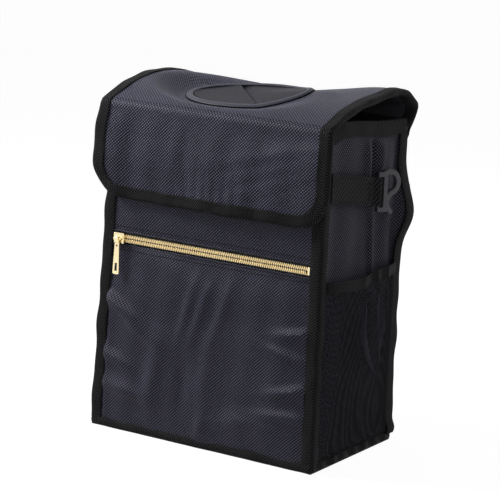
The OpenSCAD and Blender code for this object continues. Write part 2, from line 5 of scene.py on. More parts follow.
import bmesh
import bpy
import numpy as np
from bpy.props import FloatProperty, FloatVectorProperty, PointerProperty
from mathutils import Matrix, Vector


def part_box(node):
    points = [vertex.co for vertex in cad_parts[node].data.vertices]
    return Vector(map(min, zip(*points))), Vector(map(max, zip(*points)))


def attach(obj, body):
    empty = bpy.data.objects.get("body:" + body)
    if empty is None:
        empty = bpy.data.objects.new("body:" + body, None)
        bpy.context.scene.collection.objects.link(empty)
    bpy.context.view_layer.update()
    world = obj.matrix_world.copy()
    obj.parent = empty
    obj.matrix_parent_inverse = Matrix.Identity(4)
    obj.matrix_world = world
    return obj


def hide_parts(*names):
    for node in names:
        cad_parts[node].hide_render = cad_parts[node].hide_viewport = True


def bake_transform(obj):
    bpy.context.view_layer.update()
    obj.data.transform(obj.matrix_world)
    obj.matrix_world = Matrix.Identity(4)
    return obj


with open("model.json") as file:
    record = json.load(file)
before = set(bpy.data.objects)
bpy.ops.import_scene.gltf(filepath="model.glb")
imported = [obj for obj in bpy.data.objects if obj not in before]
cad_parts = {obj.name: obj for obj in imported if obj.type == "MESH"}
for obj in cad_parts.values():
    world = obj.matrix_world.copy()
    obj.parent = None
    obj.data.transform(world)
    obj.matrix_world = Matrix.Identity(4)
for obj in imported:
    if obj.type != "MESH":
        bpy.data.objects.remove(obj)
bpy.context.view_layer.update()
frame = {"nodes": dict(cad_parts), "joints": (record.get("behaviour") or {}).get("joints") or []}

bl_info = {
    "name": "Car trash bin",
    "version": (1, 0, 0),
    "blender": (4, 5, 0),
    "location": "3D View > Sidebar > Bin",
    "description": "Builds the cloth, tape, zip and rubber of a car trash bin round its solids",
    "category": "Object",
}

JOINTS = {joint["name"]: joint for joint in frame["joints"]}
FOLD_Y, FOLD_Z = JOINTS["flap_fold"]["pos_m"][1:]
HINGE_Y, HINGE_Z = JOINTS["lid_hinge"]["pos_m"][1:]
FRONT_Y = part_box("pocket_panel")[0][1]
BACK_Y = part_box("back_panel")[1][1]
RIM_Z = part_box("liner")[1][2]
HALF_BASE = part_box("right_panel")[1][0]
MIDDLE_Y = (FRONT_Y + BACK_Y) / 2
HALF_DEPTH = (BACK_Y - FRONT_Y) / 2
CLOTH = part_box("pocket_panel")[1][1] - FRONT_Y
LIP_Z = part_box("front_upper")[0][2]
LEAN = (HALF_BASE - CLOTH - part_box("front_upper")[1][0]) / LIP_Z
TAPER = math.atan(LEAN)
SIDES = (("left", -1), ("right", 1))
CLOTH_UV = "cloth"
# The finish of a solid node, by a word in its name
NODE_FINISH = {"board": "grey_board", "liner": "lining_cloth", "lining": "lining_cloth",
               "binding": "edge_tape", "corner": "edge_tape", "strap": "webbing",
               "band": "elastic", "zip_tape": "zip_cloth", "zip": "gold_metal",
               "pull": "gold_metal", "hook": "hook_plastic", "ring": "ring_rubber",
               "leaf": "rubber", "patches": "closure", "mesh": "mesh_thread",
               "seam": "edge_tape"}
# Folds: place across, place up, run, width and height in millimetres, and turn in degrees
POCKET_FOLDS = (
    (-93, 116, 26, 5.2, 5.46, -24), (-72, 100, 30, 7, 4.16, -30),
    (-96, 67, 24, 5.6, 5.46, -18), (-80, 38, 30, 6.5, 3.64, -8),
    (92, 118, 20, 3.8, 4.68, 10), (86, 98, 26, 3.6, 3.9, -12), (90, 68, 24, 4, 4.68, 14),
    (84, 45, 28, 4.4, 4.16, 4), (2, 20, 14, 5, 2.34, 78), (30, 28, 22, 6, 2.08, 8),
    (-30, 150, 40, 10, 2.08, -20), (-18, 119, 26, 4.4, 2.34, 75),
    (-3, 122, 26, 4.4, 2.34, 72), (16, 120, 28, 4.6, 1.95, 72),
    (-19, 52, 24, 7, -3.12, 88), (-50, 56, 26, 7.5, 2.6, 82), (4, 68, 30, 7.5, 2.34, 84),
    (48, 34, 30, 8, 3.12, -4))
SIDE_FOLDS = (
    (8, 262, 26, 2.8, -4.6, 93), (-1, 256, 24, 5.6, 2.2, 93), (21, 258, 24, 7, 3.4, 90),
    (10, 190, 45, 4.5, 3.6, 97), (34, 235, 55, 9, 3.4, 92), (52, 200, 60, 5, -2.8, 90),
    (-30, 200, 50, 16, 1.8, 84))
FLAP_FOLDS = ((-26, -40, 34, 7, -1.7, 86), (-80, -40, 34, 9, -1.2, 92),
              (60, -26, 50, 5, 1, 14), (58, -40, 50, 5, 0.9, 17), (55, -54, 50, 5, 0.9, 20))
# The same for the net, in shares of its half width and of its height
NET_GATHERS = ((-0.10, 0.86, 0.30, 0.055, 1.0, 98), (0.02, 0.55, 0.22, 0.06, 0.8, 68),
               (0.26, 0.88, 0.22, 0.05, 1.1, 82), (0.34, 0.60, 0.20, 0.06, 0.8, 104),
               (0.60, 0.90, 0.24, 0.05, 0.9, 92), (0.10, 0.85, 0.25, 0.07, -1.3, 84),
               (0.44, 0.86, 0.25, 0.07, -1.3, 96))


def length(name, description, default):
    """A size in metres."""
    return FloatProperty(name=name, description=description, default=default,
                         unit="LENGTH", precision=4)


def number(name, description, default):
    """A slope, an angle or a share."""
    return FloatProperty(name=name, description=description, default=default, precision=3)


def tint(name, description, default):
    """A colour, given as the photograph's display values from 0 to 255."""
    linear = [((c / 255 + 0.055) / 1.055) ** 2.4 for c in default]
    return FloatVectorProperty(name=name, description=description, default=linear, size=3,
                               min=0.0, max=1.0, subtype="COLOR")


class BodySizes(bpy.types.PropertyGroup):
    """Sizes of the bin's body."""
    tape_w: length("Tape width", "Width of the corner tapes on each face", 0.0095)
    tape_t: length("Tape thickness", "Thickness of the binding tapes", 0.0012)
    rim_tape: length("Rim tape height", "Height of the tape over the rim",
                     RIM_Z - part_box("rim_binding")[0][2])
    foot_tape: length("Foot tape height", "Height of the tape round the base",
                      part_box("base_binding")[1][2])
    foot_out: length("Foot tape depth", "How far the base tape stands out",
                     FRONT_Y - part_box("base_binding")[0][1])
    wall: length("Wall thickness", "Thickness of cloth, board and liner together",
                 HALF_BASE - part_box("liner")[1][0] + 0.0008)
    puff: length("Pocket fullness", "How far the front pocket swells", 0.0026)
    grid_step: length("Grid step", "Spacing of the cloth's points", 0.002)


class LidSizes(bpy.types.PropertyGroup):
    """Sizes of the lid and flap."""
    half_w: length("Half width", "Half the width of the lid without its tape",
                   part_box("lid_top")[1][0])
    thick: length("Thickness", "Thickness of the lid's three layers together", 0.004)
    skin: length("Skin", "Thickness of the lid's outer cloth", 0.0012)
    lining: length("Lining", "Thickness of the lid's lining", 0.0008)
    arch_r: length("Arch radius", "Radius of the lid's arch, front to back", 0.1888)
    arch_y: length("Arch place", "Place of the arch's crest over the depth", 0.0015)
    reach: length("Reach", "How far the arch runs out behind the body", 0.012)
    roll_r: length("Roll radius", "Radius of the roll at the back of the lid", 0.009)
    roll_end: number("Roll end", "Angle at which the roll ends, in degrees", 135.0)
    flap_l: length("Flap length", "Length of the flap below the fold",
                   FOLD_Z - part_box("flap_board")[0][2])
    flap_r: length("Flap corner", "Radius of the flap's lower corners", 0.028)
    tape_w: length("Tape width", "Width of the tape on the lid's edge", 0.010)
    tape_t: length("Tape thickness", "Thickness of the tape on the lid's edge", 0.001)
    crease: length("Crease", "How far from the fold the cloth starts to turn", 0.005)
    belly: length("Flap belly", "How far the flap's left edge bows out", 0.004)


class InsertSizes(bpy.types.PropertyGroup):
    """Sizes of the rubber insert."""
    half_long: length("Half length", "Half the oval's longer side", 0.060)
    half_short: length("Half breadth", "Half the oval's shorter side", 0.038)
    middle_x: length("Middle across", "Place of the oval's middle over the width", -0.007)
    middle_y: length("Middle", "Place of the oval's middle over the depth", -0.0165)
    drop: length("Drop", "Depth of the oval's middle below the arch's crest", 0.012)
    slope: number("Slope", "Rise of the insert towards the back", 0.17)
    lean: number("Lean", "Rise of the insert towards the right", 0.04)
    wing: number("Wing", "Rise of the insert's right half beyond the slit", 0.17)
    behind: length("Dip behind", "How far the lid dips behind the insert", 0.0045)
    ring_w: length("Ring width", "Width of the rubber ring", 0.006)
    ring_h: length("Ring height", "Height of the rubber ring", 0.0026)
    leaf_t: length("Leaf thickness", "Thickness of the two rubber leaves", 0.0016)
    slit_turn: number("Slit turn", "Direction of the slit, in degrees", 131.0)
    slit_w: length("Slit width", "Width of the slit", 0.0012)
    root: length("Leaf root", "Distance of the leaves' bend from the slit", 0.026)
    gap: length("Gap", "Gap between the leaves and the ring", 0.0005)


class ZipSizes(bpy.types.PropertyGroup):
    """Sizes of the zip."""
    pitch: length("Pitch", "Distance from tooth to tooth", 0.0019)
    tooth: length("Tooth", "Width of one tooth", 0.0013)
    slant: number("Slant", "Sideways run of a tooth for its height", 0.45)


class Looks(bpy.types.PropertyGroup):
    """Colours of the finishes and the camera's place."""
    # The low tints of the cloths and tapes are painted shade down between their threads and ribs.
    navy_dark: tint("Navy, low", "Colour down between the threads", (5, 5, 11))
    navy_light: tint("Navy, high", "Colour on top of the threads", (98, 97, 124))
    lid_dark: tint("Lid, low", "Colour down between the lid's threads", (12, 12, 20))
    lid_light: tint("Lid, high", "Colour on top of the lid's threads", (122, 121, 148))
    side_dark: tint("Side, low", "Colour down between the side's threads", (4, 4, 6))
    side_light: tint("Side, high", "Colour on top of the side's threads", (116, 114, 132))
    tape_dark: tint("Tape, low", "Colour down between the ribs of the tape", (5, 5, 6))
    tape_light: tint("Tape, high", "Colour on top of the ribs of the tape", (66, 66, 68))
    mesh: tint("Thread", "Colour of the sewing threads", (40, 40, 43))
    net: tint("Net", "Colour of the pockets' net", (44, 44, 48))
    lining_dark: tint("Lining, low", "Colour of the lining's shade", (66, 66, 71))
    lining_light: tint("Lining, high", "Colour of the lining's threads", (112, 112, 120))
    rubber: tint("Rubber", "Colour of the rubber leaves", (40, 40, 48))
    # The ring's tint is the leaves' rubber made lighter: a painted highlight on the raised ring.
    ring: tint("Ring", "Colour of the rubber ring", (72, 72, 84))
    gold: tint("Gold", "Colour of the zip's metal", (250, 232, 188))
    plastic: tint("Plastic", "Colour of the hooks", (92, 93, 100))
    board: tint("Board", "Colour of the boards in the walls", (120, 112, 98))
    thread: length("Thread", "Width of the cloth's threads", 0.0029)
    side_thread: length("Side thread", "Width of the threads of the sides' cloth", 0.0031)
    camera_at: FloatVectorProperty(name="Camera", description="Place of the camera", size=3,
                                   default=(0.88663, -1.51833, 0.50529),
                                   subtype="TRANSLATION")
    aim: FloatVectorProperty(name="Aim", description="Direction, height and roll of the view",
                             default=[math.radians(a) for a in (30.455, 10.952, 3.666)],
                             size=3, subtype="EULER")
    focal: number("Focal length", "Focal length in millimetres on a 36 mm sensor", 145.31)


# Arrays of points
def clip01(t):
    """The value held between nought and one."""
    return np.clip(t, 0, 1)


def smooth01(t):
    """Nought below 0, one above 1, and 3 t squared less 2 t cubed between."""
    t = np.clip(t, 0, 1)
    return t * t * (3 - 2 * t)


def bell(t):
    """e to the power of minus t squared."""
    return np.exp(-t ** 2)


def joined(*parts):
    """Points from their coordinates, each stretched to the shape of the others."""
    return np.stack(np.broadcast_arrays(*parts), axis=-1)


def grid(down, across):
    """The two parameters of a grid at each of its points."""
    return np.meshgrid(down, across, indexing="ij")


def even(low, high, step):
    """Even points from low to high, about step apart."""
    return np.linspace(low, high, max(2, int(round((high - low) / step)) + 1))


def unit(ways):
    """Directions brought to length one."""
    return ways / np.linalg.norm(ways, axis=-1)[..., None]


def left_of(ways):
    """Unit directions in a plane, turned a quarter to the left: minus v, then u."""
    ways = unit(ways)
    return joined(-ways[:, 1], ways[:, 0])


def run_along(points):
    """Distance along a line of points, nought at its first."""
    return np.concatenate([[0], np.cumsum(np.linalg.norm(np.diff(points, axis=0), axis=1))])


def sample(values, run, at):
    """Columns of values known at run, read in straight lines between at the places at."""
    return joined(*(np.interp(at, run, column) for column in values.T))


def softened(line, times):
    """Each inner point becomes half itself and a quarter of each neighbour, times over."""
    line = line.copy()
    for _ in range(times):
        line[1:-1] = (line[:-2] + 2 * line[1:-1] + line[2:]) / 4
    return line


def turn_points(middle, radius, start, end, count):
    """Points on an arc: middle plus radius times cosine and sine of angles in degrees."""
    angle = np.radians(np.linspace(start, end, count))
    return joined(middle[0] + radius * np.cos(angle), middle[1] + radius * np.sin(angle))


def rounded_loop(half_x, half_y, radius, straight=40):
    """Points round a rectangle with rounded corners, and the way out at each: four quarter
    circles, joined by straight runs of evenly spread points."""
    radius = max(radius, 0.0004)
    signs = np.array([(1, -1), (1, 1), (-1, 1), (-1, -1)])
    middles = signs * (np.array([half_x, half_y]) - radius)
    share = np.linspace(0, 1, straight + 2)[1:-1, None]
    points, ways = [], []
    for k, middle in enumerate(middles):
        angle = math.radians(90 * k - 90) + np.linspace(0, math.pi / 2, 6)
        way = joined(np.cos(angle), np.sin(angle))
        to_next = middles[(k + 1) % 4] - middle
        points += [middle + radius * way, middle + radius * way[-1] + share * to_next]
        ways += [way, np.repeat(way[-1:], straight, axis=0)]
    return np.concatenate(points), np.concatenate(ways)


def band_outline(line, thick, step=0.0015):
    """The outline of a tape seen end on: its middle line moved to each side by half the
    thickness, times a quarter-circle rise near the ends."""
    line = np.asarray(line, float)
    run = run_along(line)
    half = thick / 2
    nose = np.array([0, 0.15, 0.5]) * half
    at = np.concatenate([nose, even(half, run[-1] - half, step), run[-1] - nose[::-1]])
    points = sample(line, run, at)
    near = clip01(np.minimum(at, run[-1] - at) / half)
    rise = half * np.maximum(np.sqrt(1 - (1 - near) ** 2), 0.2)
    side = left_of(np.gradient(points, axis=0)) * rise[:, None]
    return np.concatenate([points + side, (points - side)[::-1]])


def webbing_sections(line, count, times, width, half_thick):
    """Webbing seen from above: count even places along its softened middle line, each with a
    section whose half thickness falls at its edges by the eighth power. Gives the line, the
    section's two places at each point of it, and its heights."""
    run = run_along(line)
    line = softened(sample(line, run, np.linspace(0, 1, count) * run[-1]), times)
    up = np.linspace(-width / 2, width / 2, 9)
    half = half_thick * np.sqrt(np.clip(1 - (np.abs(up) / (width / 2 + 0.0004)) ** 8, 0.1, 1))
    section = np.concatenate([joined(half, up), joined(-half, up)[::-1]])
    normal = left_of(np.gradient(line, axis=0))
    both = line[:, None] + normal[:, None] * section[:, :1]
    return line, both[..., 0], both[..., 1], section[:, 1]


def ripples(u, v, size, depth, phase=0.0):
    """Uneven cloth: the product of two crossed waves of about the given size, plus a wave
    of nearly twice that size, worth depth in all."""
    k = 2 * math.pi / size
    first = np.sin(k * (0.83 * u + 0.56 * v) + phase)
    second = np.sin(1.31 * k * (0.61 * v - 0.79 * u) + 2.1 * phase + 1)
    third = np.sin(0.57 * k * (0.97 * u + 0.24 * v) + 0.7 * phase + 2.3)
    return depth * (first * second + 0.6 * third) / 1.6


def folds(u, v, rows, size=0.001):
    """The sum of soft ridges: each a height, times a bell along a line through a place and a
    bell across it, in units of size."""
    total = 0.0
    for place_u, place_v, run, width, height, turn in rows:
        c, s = math.cos(math.radians(turn)), math.sin(math.radians(turn))
        du, dv = u - place_u * size, v - place_v * size
        total = total + height * size * bell((du * c + dv * s) / (run * size)) \
            * bell((dv * c - du * s) / (width * size))
    return total


# Meshes from arrays
def cells(rows, cols, wrap_rows=False, wrap_cols=False):
    """The cells of a grid: each cell's corner numbers, and its corners' rows and columns.
    A wrapped side joins its last line to its first."""
    i, j = grid(np.arange(rows if wrap_rows else rows - 1),
                np.arange(cols if wrap_cols else cols - 1))
    i, j = i.ravel(), j.ravel()
    ii = np.stack([i, i + 1, i + 1, i], axis=1)
    jj = np.stack([j, j, j + 1, j + 1], axis=1)
    return ii % rows * cols + jj % cols, ii, jj


def outward(verts, quads, uvs):
    """The same closed surface with its faces outwards: six times its volume, summed over
    the faces as corner cross corner dot corner, is made positive."""
    a, b, c, d = (verts[quads[:, k]] for k in range(4))
    if np.sum(np.cross(a, b) * c) + np.sum(np.cross(a, c) * d) < 0:
        quads, uvs = quads[:, ::-1], uvs[:, ::-1]
    return verts, quads, uvs


def shell(outer, inner, uv, keep=None, wrap=False):
    """A closed sheet between two grids of points. Cells that keep leaves out are a hole, and
    a wall joins the grids along each edge that only one cell uses."""
    rows, cols = outer.shape[:2]
    quads, ii, jj = cells(rows, cols, wrap_cols=wrap)
    corner_uv = uv[ii, jj]
    if keep is not None:
        quads, corner_uv = quads[keep], corner_uv[keep]
    count = rows * cols
    start, end = quads.ravel(), np.roll(quads, -1, axis=1).ravel()
    start_uv = corner_uv.reshape(-1, 2)
    end_uv = np.roll(corner_uv, -1, axis=1).reshape(-1, 2)
    rim = ~np.isin(start * count + end, end * count + start)
    start, end, start_uv, end_uv = start[rim], end[rim], start_uv[rim], end_uv[rim]
    walls = np.stack([end, start, start + count, end + count], axis=1)
    wall_uv = np.stack([end_uv, start_uv, start_uv + CLOTH, end_uv + CLOTH], axis=1)
    verts = np.concatenate([outer.reshape(-1, 3), inner.reshape(-1, 3)])
    quads = np.concatenate([quads, quads[:, ::-1] + count, walls])
    uvs = np.concatenate([corner_uv, corner_uv[:, ::-1], wall_uv])
    used, quads = np.unique(quads, return_inverse=True)
    return outward(verts[used], quads.reshape(-1, 4), uvs)


def swept(rings, closed=False):
    """A solid through outlines set along a path, rings being (places, corners, 3). Its cloth
    runs along the path and round the outline. Each end is closed by strips across."""
    places, corners = rings.shape[:2]
    quads, ii, jj = cells(places, corners, closed, True)
    middle, outline = rings.mean(axis=1), rings[places // 2]
    along = run_along(np.concatenate([middle, middle[:1]]))
    round_it = run_along(np.concatenate([outline, outline[:1]]))
    uvs = joined(along[ii], round_it[jj])
    if not closed:
        j = np.arange(corners // 2 - 1)
        cap = np.stack([j, j + 1, corners - 2 - j, corners - 1 - j], axis=1)
        cap_uv = joined(round_it[cap] * 0.5, round_it[cap])
        quads = np.concatenate([quads, cap, cap[:, ::-1] + (places - 1) * corners])
        uvs = np.concatenate([uvs, cap_uv, cap_uv[:, ::-1]])
    return outward(rings.reshape(-1, 3), quads, uvs)


def repeated(rings, caps):
    """Many alike parts in one mesh: rings is (parts, places, corners, 3), and caps are the
    faces that close one part. Its cloth is x and z."""
    parts, places, corners = rings.shape[:3]
    one = np.concatenate([cells(places, corners, wrap_cols=True)[0], caps])
    first = rings[0].reshape(-1, 3)
    _, one, _ = outward(first - first.mean(axis=0), one, np.zeros(one.shape + (2,)))
    shifts = places * corners * np.arange(parts)[:, None, None]
    verts, quads = rings.reshape(-1, 3), (one + shifts).reshape(-1, 4)
    return verts, quads, verts[quads][..., [0, 2]]


def stitch_row(points, out, pitch=0.0034, run=0.0024, thick=0.0005):
    """Stitches at even steps along a line of points, standing out of the cloth: each a box
    of run by thick whose height rises in its middle by the root of a cosine."""
    steps = run_along(points)
    at = np.arange(pitch, steps[-1] - pitch / 2, pitch)
    middle = sample(points, steps, at)
    along = unit(sample(points, steps, at + run / 2) - sample(points, steps, at - run / 2))
    way = unit(sample(np.broadcast_to(np.asarray(out, float), points.shape), steps, at))
    share = np.linspace(-0.5, 0.5, 4)[:, None]
    rise = thick * (0.35 + 0.65 * np.cos(math.pi * share) ** 0.5)
    corners = np.array([[-1, -1], [1, -1], [1, 1], [-1, 1]]) * 0.5
    middle, along, side, way = (values[:, None, None] for values in
                                (middle, along, np.cross(along, way), way))
    rings = (middle + along * (share * run)[..., None] + side * (corners[:, :1] * thick)
             + way * (corners[:, 1] * rise)[..., None])
    return repeated(rings, [[0, 1, 2, 3], [15, 14, 13, 12]])


def placed(name, data):
    """A new object in the scene."""
    made = bpy.data.objects.new(name, data)
    bpy.context.scene.collection.objects.link(made)
    return made


def finished(name, mesh, sharp, material, nodes, body):
    """The object of a mesh, smooth but for edges past the sharp angle. It rides on body and
    replaces the nodes that it stands for."""
    mesh.shade_smooth()
    mesh.set_sharp_from_angle(angle=math.radians(sharp))
    mesh.materials.append(bpy.data.materials["bin_" + material])
    piece = placed(name, mesh)
    if body:
        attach(piece, body)
    if nodes:
        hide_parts(*nodes)
    return piece


def make_piece(name, parts, material, nodes=(), body="shell"):
    """One object from closed parts, each being its points, faces and cloth places."""
    shifts = np.cumsum([0] + [len(part[0]) for part in parts[:-1]])
    verts = np.concatenate([part[0] for part in parts])
    quads = np.concatenate([part[1] + shift for part, shift in zip(parts, shifts)])
    uvs = np.concatenate([part[2] for part in parts])
    mesh = bpy.data.meshes.new(name)
    mesh.vertices.add(len(verts))
    mesh.vertices.foreach_set("co", verts.astype(np.float32).ravel())
    mesh.loops.add(quads.size)
    mesh.loops.foreach_set("vertex_index", quads.astype(np.int32).ravel())
    mesh.polygons.add(len(quads))
    mesh.polygons.foreach_set("loop_start", np.arange(0, quads.size, 4, dtype=np.int32))
    mesh.update(calc_edges=True)
    mesh.uv_layers.new(name=CLOTH_UV).uv.foreach_set("vector", uvs.astype(np.float32).ravel())
    return finished(name, mesh, 48, material, nodes, body)


def rounded_copy(name, node, width, material, body, taper=0.0):
    """A copy of a solid node, merged, with its sharp edges bevelled, that stands for it. Its
    width falls by the taper's share towards its top."""
    work = bmesh.new()
    work.from_mesh(frame["nodes"][node].data)
    bmesh.ops.remove_doubles(work, verts=work.verts, dist=1e-6)
    bmesh.ops.dissolve_limit(work, angle_limit=math.radians(1), verts=work.verts,
                             edges=work.edges)
    sharp = [edge for edge in work.edges if len(edge.link_faces) == 2
             and edge.calc_face_angle(0) > math.radians(40)]
    bmesh.ops.bevel(work, geom=sharp, offset=width, segments=2, profile=0.5,
                    affect="EDGES", clamp_overlap=True)
    low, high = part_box(node)
    middle = (low[0] + high[0]) / 2
    for vert in work.verts:
        share = 1 - taper * (vert.co.z - low[2]) / (high[2] - low[2])
        vert.co.x = middle + (vert.co.x - middle) * share
    mesh = bpy.data.meshes.new(name)
    work.to_mesh(mesh)
    work.free()
    return finished(name, mesh, 38, material, [node], body)


# Finishes
class Nodes:
    """A tree of shader nodes being built."""

    def __init__(self, tree):
        self.tree = tree

    def node(self, kind, **values):
        """A node of the kind, with settings by name; a name of an input sets or links it."""
        node = self.tree.nodes.new("ShaderNode" + kind)
        for key, value in values.items():
            if hasattr(node, key):
                setattr(node, key, value)
        for key, value in values.items():
            if not hasattr(node, key):
                self.feed(node.inputs[key.replace("_", " ")], value)
        return node

    def feed(self, socket, value):
        """Links an output to the socket, or sets its value."""
        if isinstance(value, bpy.types.NodeSocket):
            self.tree.links.new(value, socket)
        else:
            socket.default_value = value

    def math(self, operation, *values):
        """The result of a Math node."""
        node = self.node("Math", operation=operation)
        for socket, value in zip(node.inputs, values):
            self.feed(socket, value)
        return node.outputs[0]

    def mix(self, share, first, second, how="MIX"):
        """Two colours mixed by share."""
        node = self.node("Mix", data_type="RGBA", blend_type=how)
        self.feed(node.inputs[0], share)
        for socket, value in ((node.inputs[6], first), (node.inputs[7], second)):
            linked = isinstance(value, bpy.types.NodeSocket)
            self.feed(socket, value if linked else (*value, 1.0))
        return node.outputs[2]

    def noise(self, scale, detail=2.0):
        """Noise on the object's own coordinates."""
        at = self.node("TexCoord").outputs["Object"]
        return self.node("TexNoise", Vector=at, Scale=scale, Detail=detail).outputs[0]

    def grey(self, level):
        """A grey of the level."""
        return self.node("CombineColor", Red=level, Green=level, Blue=level).outputs[0]


class Finish(Nodes):
    """A material being built."""

    def __init__(self, name, rough, specular, metal=0.0):
        self.material = bpy.data.materials.new("bin_" + name)
        self.material.use_nodes = True
        super().__init__(self.material.node_tree)
        self.inputs = self.tree.nodes["Principled BSDF"].inputs
        self.inputs["Roughness"].default_value = rough
        self.inputs["Specular IOR Level"].default_value = specular
        self.inputs["Metallic"].default_value = metal

    def cloth_axes(self):
        """The two directions along the cloth, in metres."""
        place = self.node("UVMap", uv_map=CLOTH_UV).outputs[0]
        return self.node("SeparateXYZ", Vector=place).outputs[:2]

    def wave(self, value, size):
        """The sine of pi times the value over the size."""
        return self.math("SINE", self.math("MULTIPLY", value, math.pi / size))

    def level(self, value, low, high):
        """A value from -1 to 1 brought to low and high."""
        return self.math("MULTIPLY_ADD", value, (high - low) / 2, (high + low) / 2)

    def worn(self, colour, scale, detail, wear):
        """The colour times a slow noise, brought to within half the wear of one."""
        slow = self.math("MULTIPLY_ADD", self.noise(scale, detail), wear, 1 - wear / 2)
        return self.mix(1.0, colour, self.grey(slow), "MULTIPLY")

    def finish(self, colour, height, depth):
        """Sets the colour, and a bump of the height times depth."""
        self.feed(self.inputs["Base Color"], colour)
        bump = self.node("Bump", Strength=1.0, Distance=depth, Height=height)
        self.feed(self.inputs["Normal"], bump.outputs[0])


def woven(name, dark, light, thread, rough=0.48, depth=0.0003, shine=0.18):
    """Plain weave: the height is a sine along one diagonal plus a weaker sine along the
    other, so threads pass over and under. The colour follows the height and a noise; its low tint
    is painted shade down between the threads."""
    made = Finish(name, rough, shine)
    u, v = made.cloth_axes()
    over = made.wave(made.math("SUBTRACT", u, v), thread / 2)
    under = made.wave(made.math("ADD", u, v), thread / 2)
    over = made.math("MULTIPLY_ADD", over, 0.68, made.math("MULTIPLY", under, 0.42))
    height = made.math("ADD", made.level(over, 0, 1),
                       made.math("MULTIPLY", made.noise(1400, 1.0), 0.25))
    share = made.math("MULTIPLY_ADD", over, 2.6, made.math("MULTIPLY", made.noise(420), 0.9))
    share = made.math("ADD", share, -0.85)
    share.node.use_clamp = True
    made.finish(made.worn(made.mix(share, dark, light), 26, 3, 0.5), height, depth)


def ribbed_tape(name, dark, light, rib=0.0024, zig=0.0048, rough=0.72):
    """Binding tape: slanted ribs, the sine of the way along plus a zigzag across. Its low tint is
    painted shade down between the ribs.
    """
    made = Finish(name, rough, 0.05)
    u, v = made.cloth_axes()
    ribs = made.wave(made.math("ADD", u, made.math("PINGPONG", v, zig)), rib / 2)
    share = made.math("ADD", made.level(ribs, -0.45, 0.85),
                      made.math("MULTIPLY", made.noise(600), 0.6))
    share = made.math("ADD", share, made.math("MULTIPLY", made.wave(v, rib / 2.5), 0.1))
    share.node.use_clamp = True
    height = made.math("ADD", made.level(ribs, 0, 1),
                       made.math("MULTIPLY", made.noise(1500, 1.0), 0.3))
    made.finish(made.worn(made.mix(share, dark, light), 40, 2, 0.5), height, 0.00025)


def moulded(name, colour, rough, specular, grain, depth, metal=0.0, wear=0.25):
    """A moulded or cast finish: fine grain in its height and its gloss, and a paler or
    darker tone in slow patches."""
    made = Finish(name, rough, specular, metal)
    made.feed(made.inputs["Roughness"],
              made.math("MULTIPLY_ADD", made.noise(grain / 4), 0.2, rough - 0.1))
    made.finish(made.worn(colour, 60, 3, wear), made.noise(grain), depth)


def make_finishes(looks):
    """The materials, and one for each solid node."""
    navy, lid, side, tape, lining = (
        [getattr(looks, f"{stem}_{end}") for end in ("dark", "light")]
        for stem in ("navy", "lid", "side", "tape", "lining"))
    # Each woven finish mixes its low tint, painted shade between the threads, with the colour on
    # top of them
    woven("body_cloth", *navy, looks.thread)
    woven("lid_cloth", *lid, looks.thread, shine=0.13)
    woven("side_cloth", *side, looks.side_thread, rough=0.6, shine=0.07)
    woven("lining_cloth", *lining, 0.0014, depth=0.0001)
    woven("zip_cloth", *tape, 0.0014, depth=0.0001)
    woven("net_cloth", tape[0], side[1], 0.0012, rough=0.8, depth=0.0001, shine=0.04)
    # The tapes' low tint is painted shade between their ribs
    ribbed_tape("edge_tape", *tape)
    ribbed_tape("webbing", *tape, rib=0.0048, zig=0.026, rough=0.65)
    ribbed_tape("elastic", *tape, rib=0.0022, zig=0.003, rough=0.7)
    moulded("mesh_thread", looks.net, 0.6, 0.1, 2500, 0.00005)
    moulded("sewing_thread", looks.mesh, 0.7, 0.1, 3000, 0.00005)
    moulded("rubber", looks.rubber, 0.6, 0.12, 1800, 0.00004)
    # The ring's rubber, painted lighter as a highlight on the raised ring.
    moulded("ring_rubber", looks.ring, 0.5, 0.2, 1800, 0.00004)
    moulded("hook_plastic", looks.plastic, 0.3, 0.4, 1200, 0.00003)
    moulded("gold_metal", looks.gold, 0.27, 0.5, 900, 0.00003, metal=1.0, wear=0.12)
    # The pads' own near-black, which on the ring's beads is painted shade.
    moulded("closure", looks.tape_dark, 0.9, 0.1, 1600, 0.0006, wear=0.5)
    moulded("grey_board", looks.board, 0.9, 0.1, 700, 0.0001)
    for name, node in frame["nodes"].items():
        finish = next((NODE_FINISH[word] for word in NODE_FINISH if word in name), "body_cloth")
        node.data.materials.clear()
        node.data.materials.append(bpy.data.materials["bin_" + finish])


# Body
def half_width(z):
    """Half the body's width at a height: the base's half less the lean times the height."""
    return HALF_BASE - LEAN * z


def rim_lift(x, y, z):
    """How far the right side's rim stands above its level: most a little behind the front,
    falling to nought towards the back, and only near the top."""
    ahead = clip01((0.0435 - y) / 0.103) ** 1.2 * smooth01((y - FRONT_Y - 0.008) / 0.024)
    return 0.0066 * ahead * smooth01((x - 0.085) / 0.015) * smooth01((z - 0.23) / 0.05)


def back_bulge(z):
    """How far the back corners swell beside the belt loops: a bell up the wall."""
    return 0.0062 * bell((z - 0.212) / 0.024)


def edge_hold(x, z, z0, z1, reach):
    """Nought at the edges of a panel, where its seams hold it, and one away from them."""
    side = clip01((half_width(z) - 0.0095 - np.abs(x)) / reach)
    ends = clip01(np.minimum(z - z0, z1 - z) / reach)
    return np.sin(side * math.pi / 2) * np.sin(ends * math.pi / 2)


def face_cloth(name, node, z, y, way, swell, material):
    """A front or back cloth: x is a share of the width at each height, and y is the face's
    plane moved out by swell. It is cut as wide as the body at its lower edge, narrower at
    its upper edge, and sewn tight over a board."""
    zz, share = grid(z, even(-1, 1, 0.018))
    x = share * (half_width(zz) - CLOTH)
    out = swell(x, zz)
    sheet = shell(joined(x, y + way * out, zz), joined(x, y + way * (out - CLOTH), zz),
                  joined(x, zz))
    piece = make_piece(name, [sheet], material, [node])


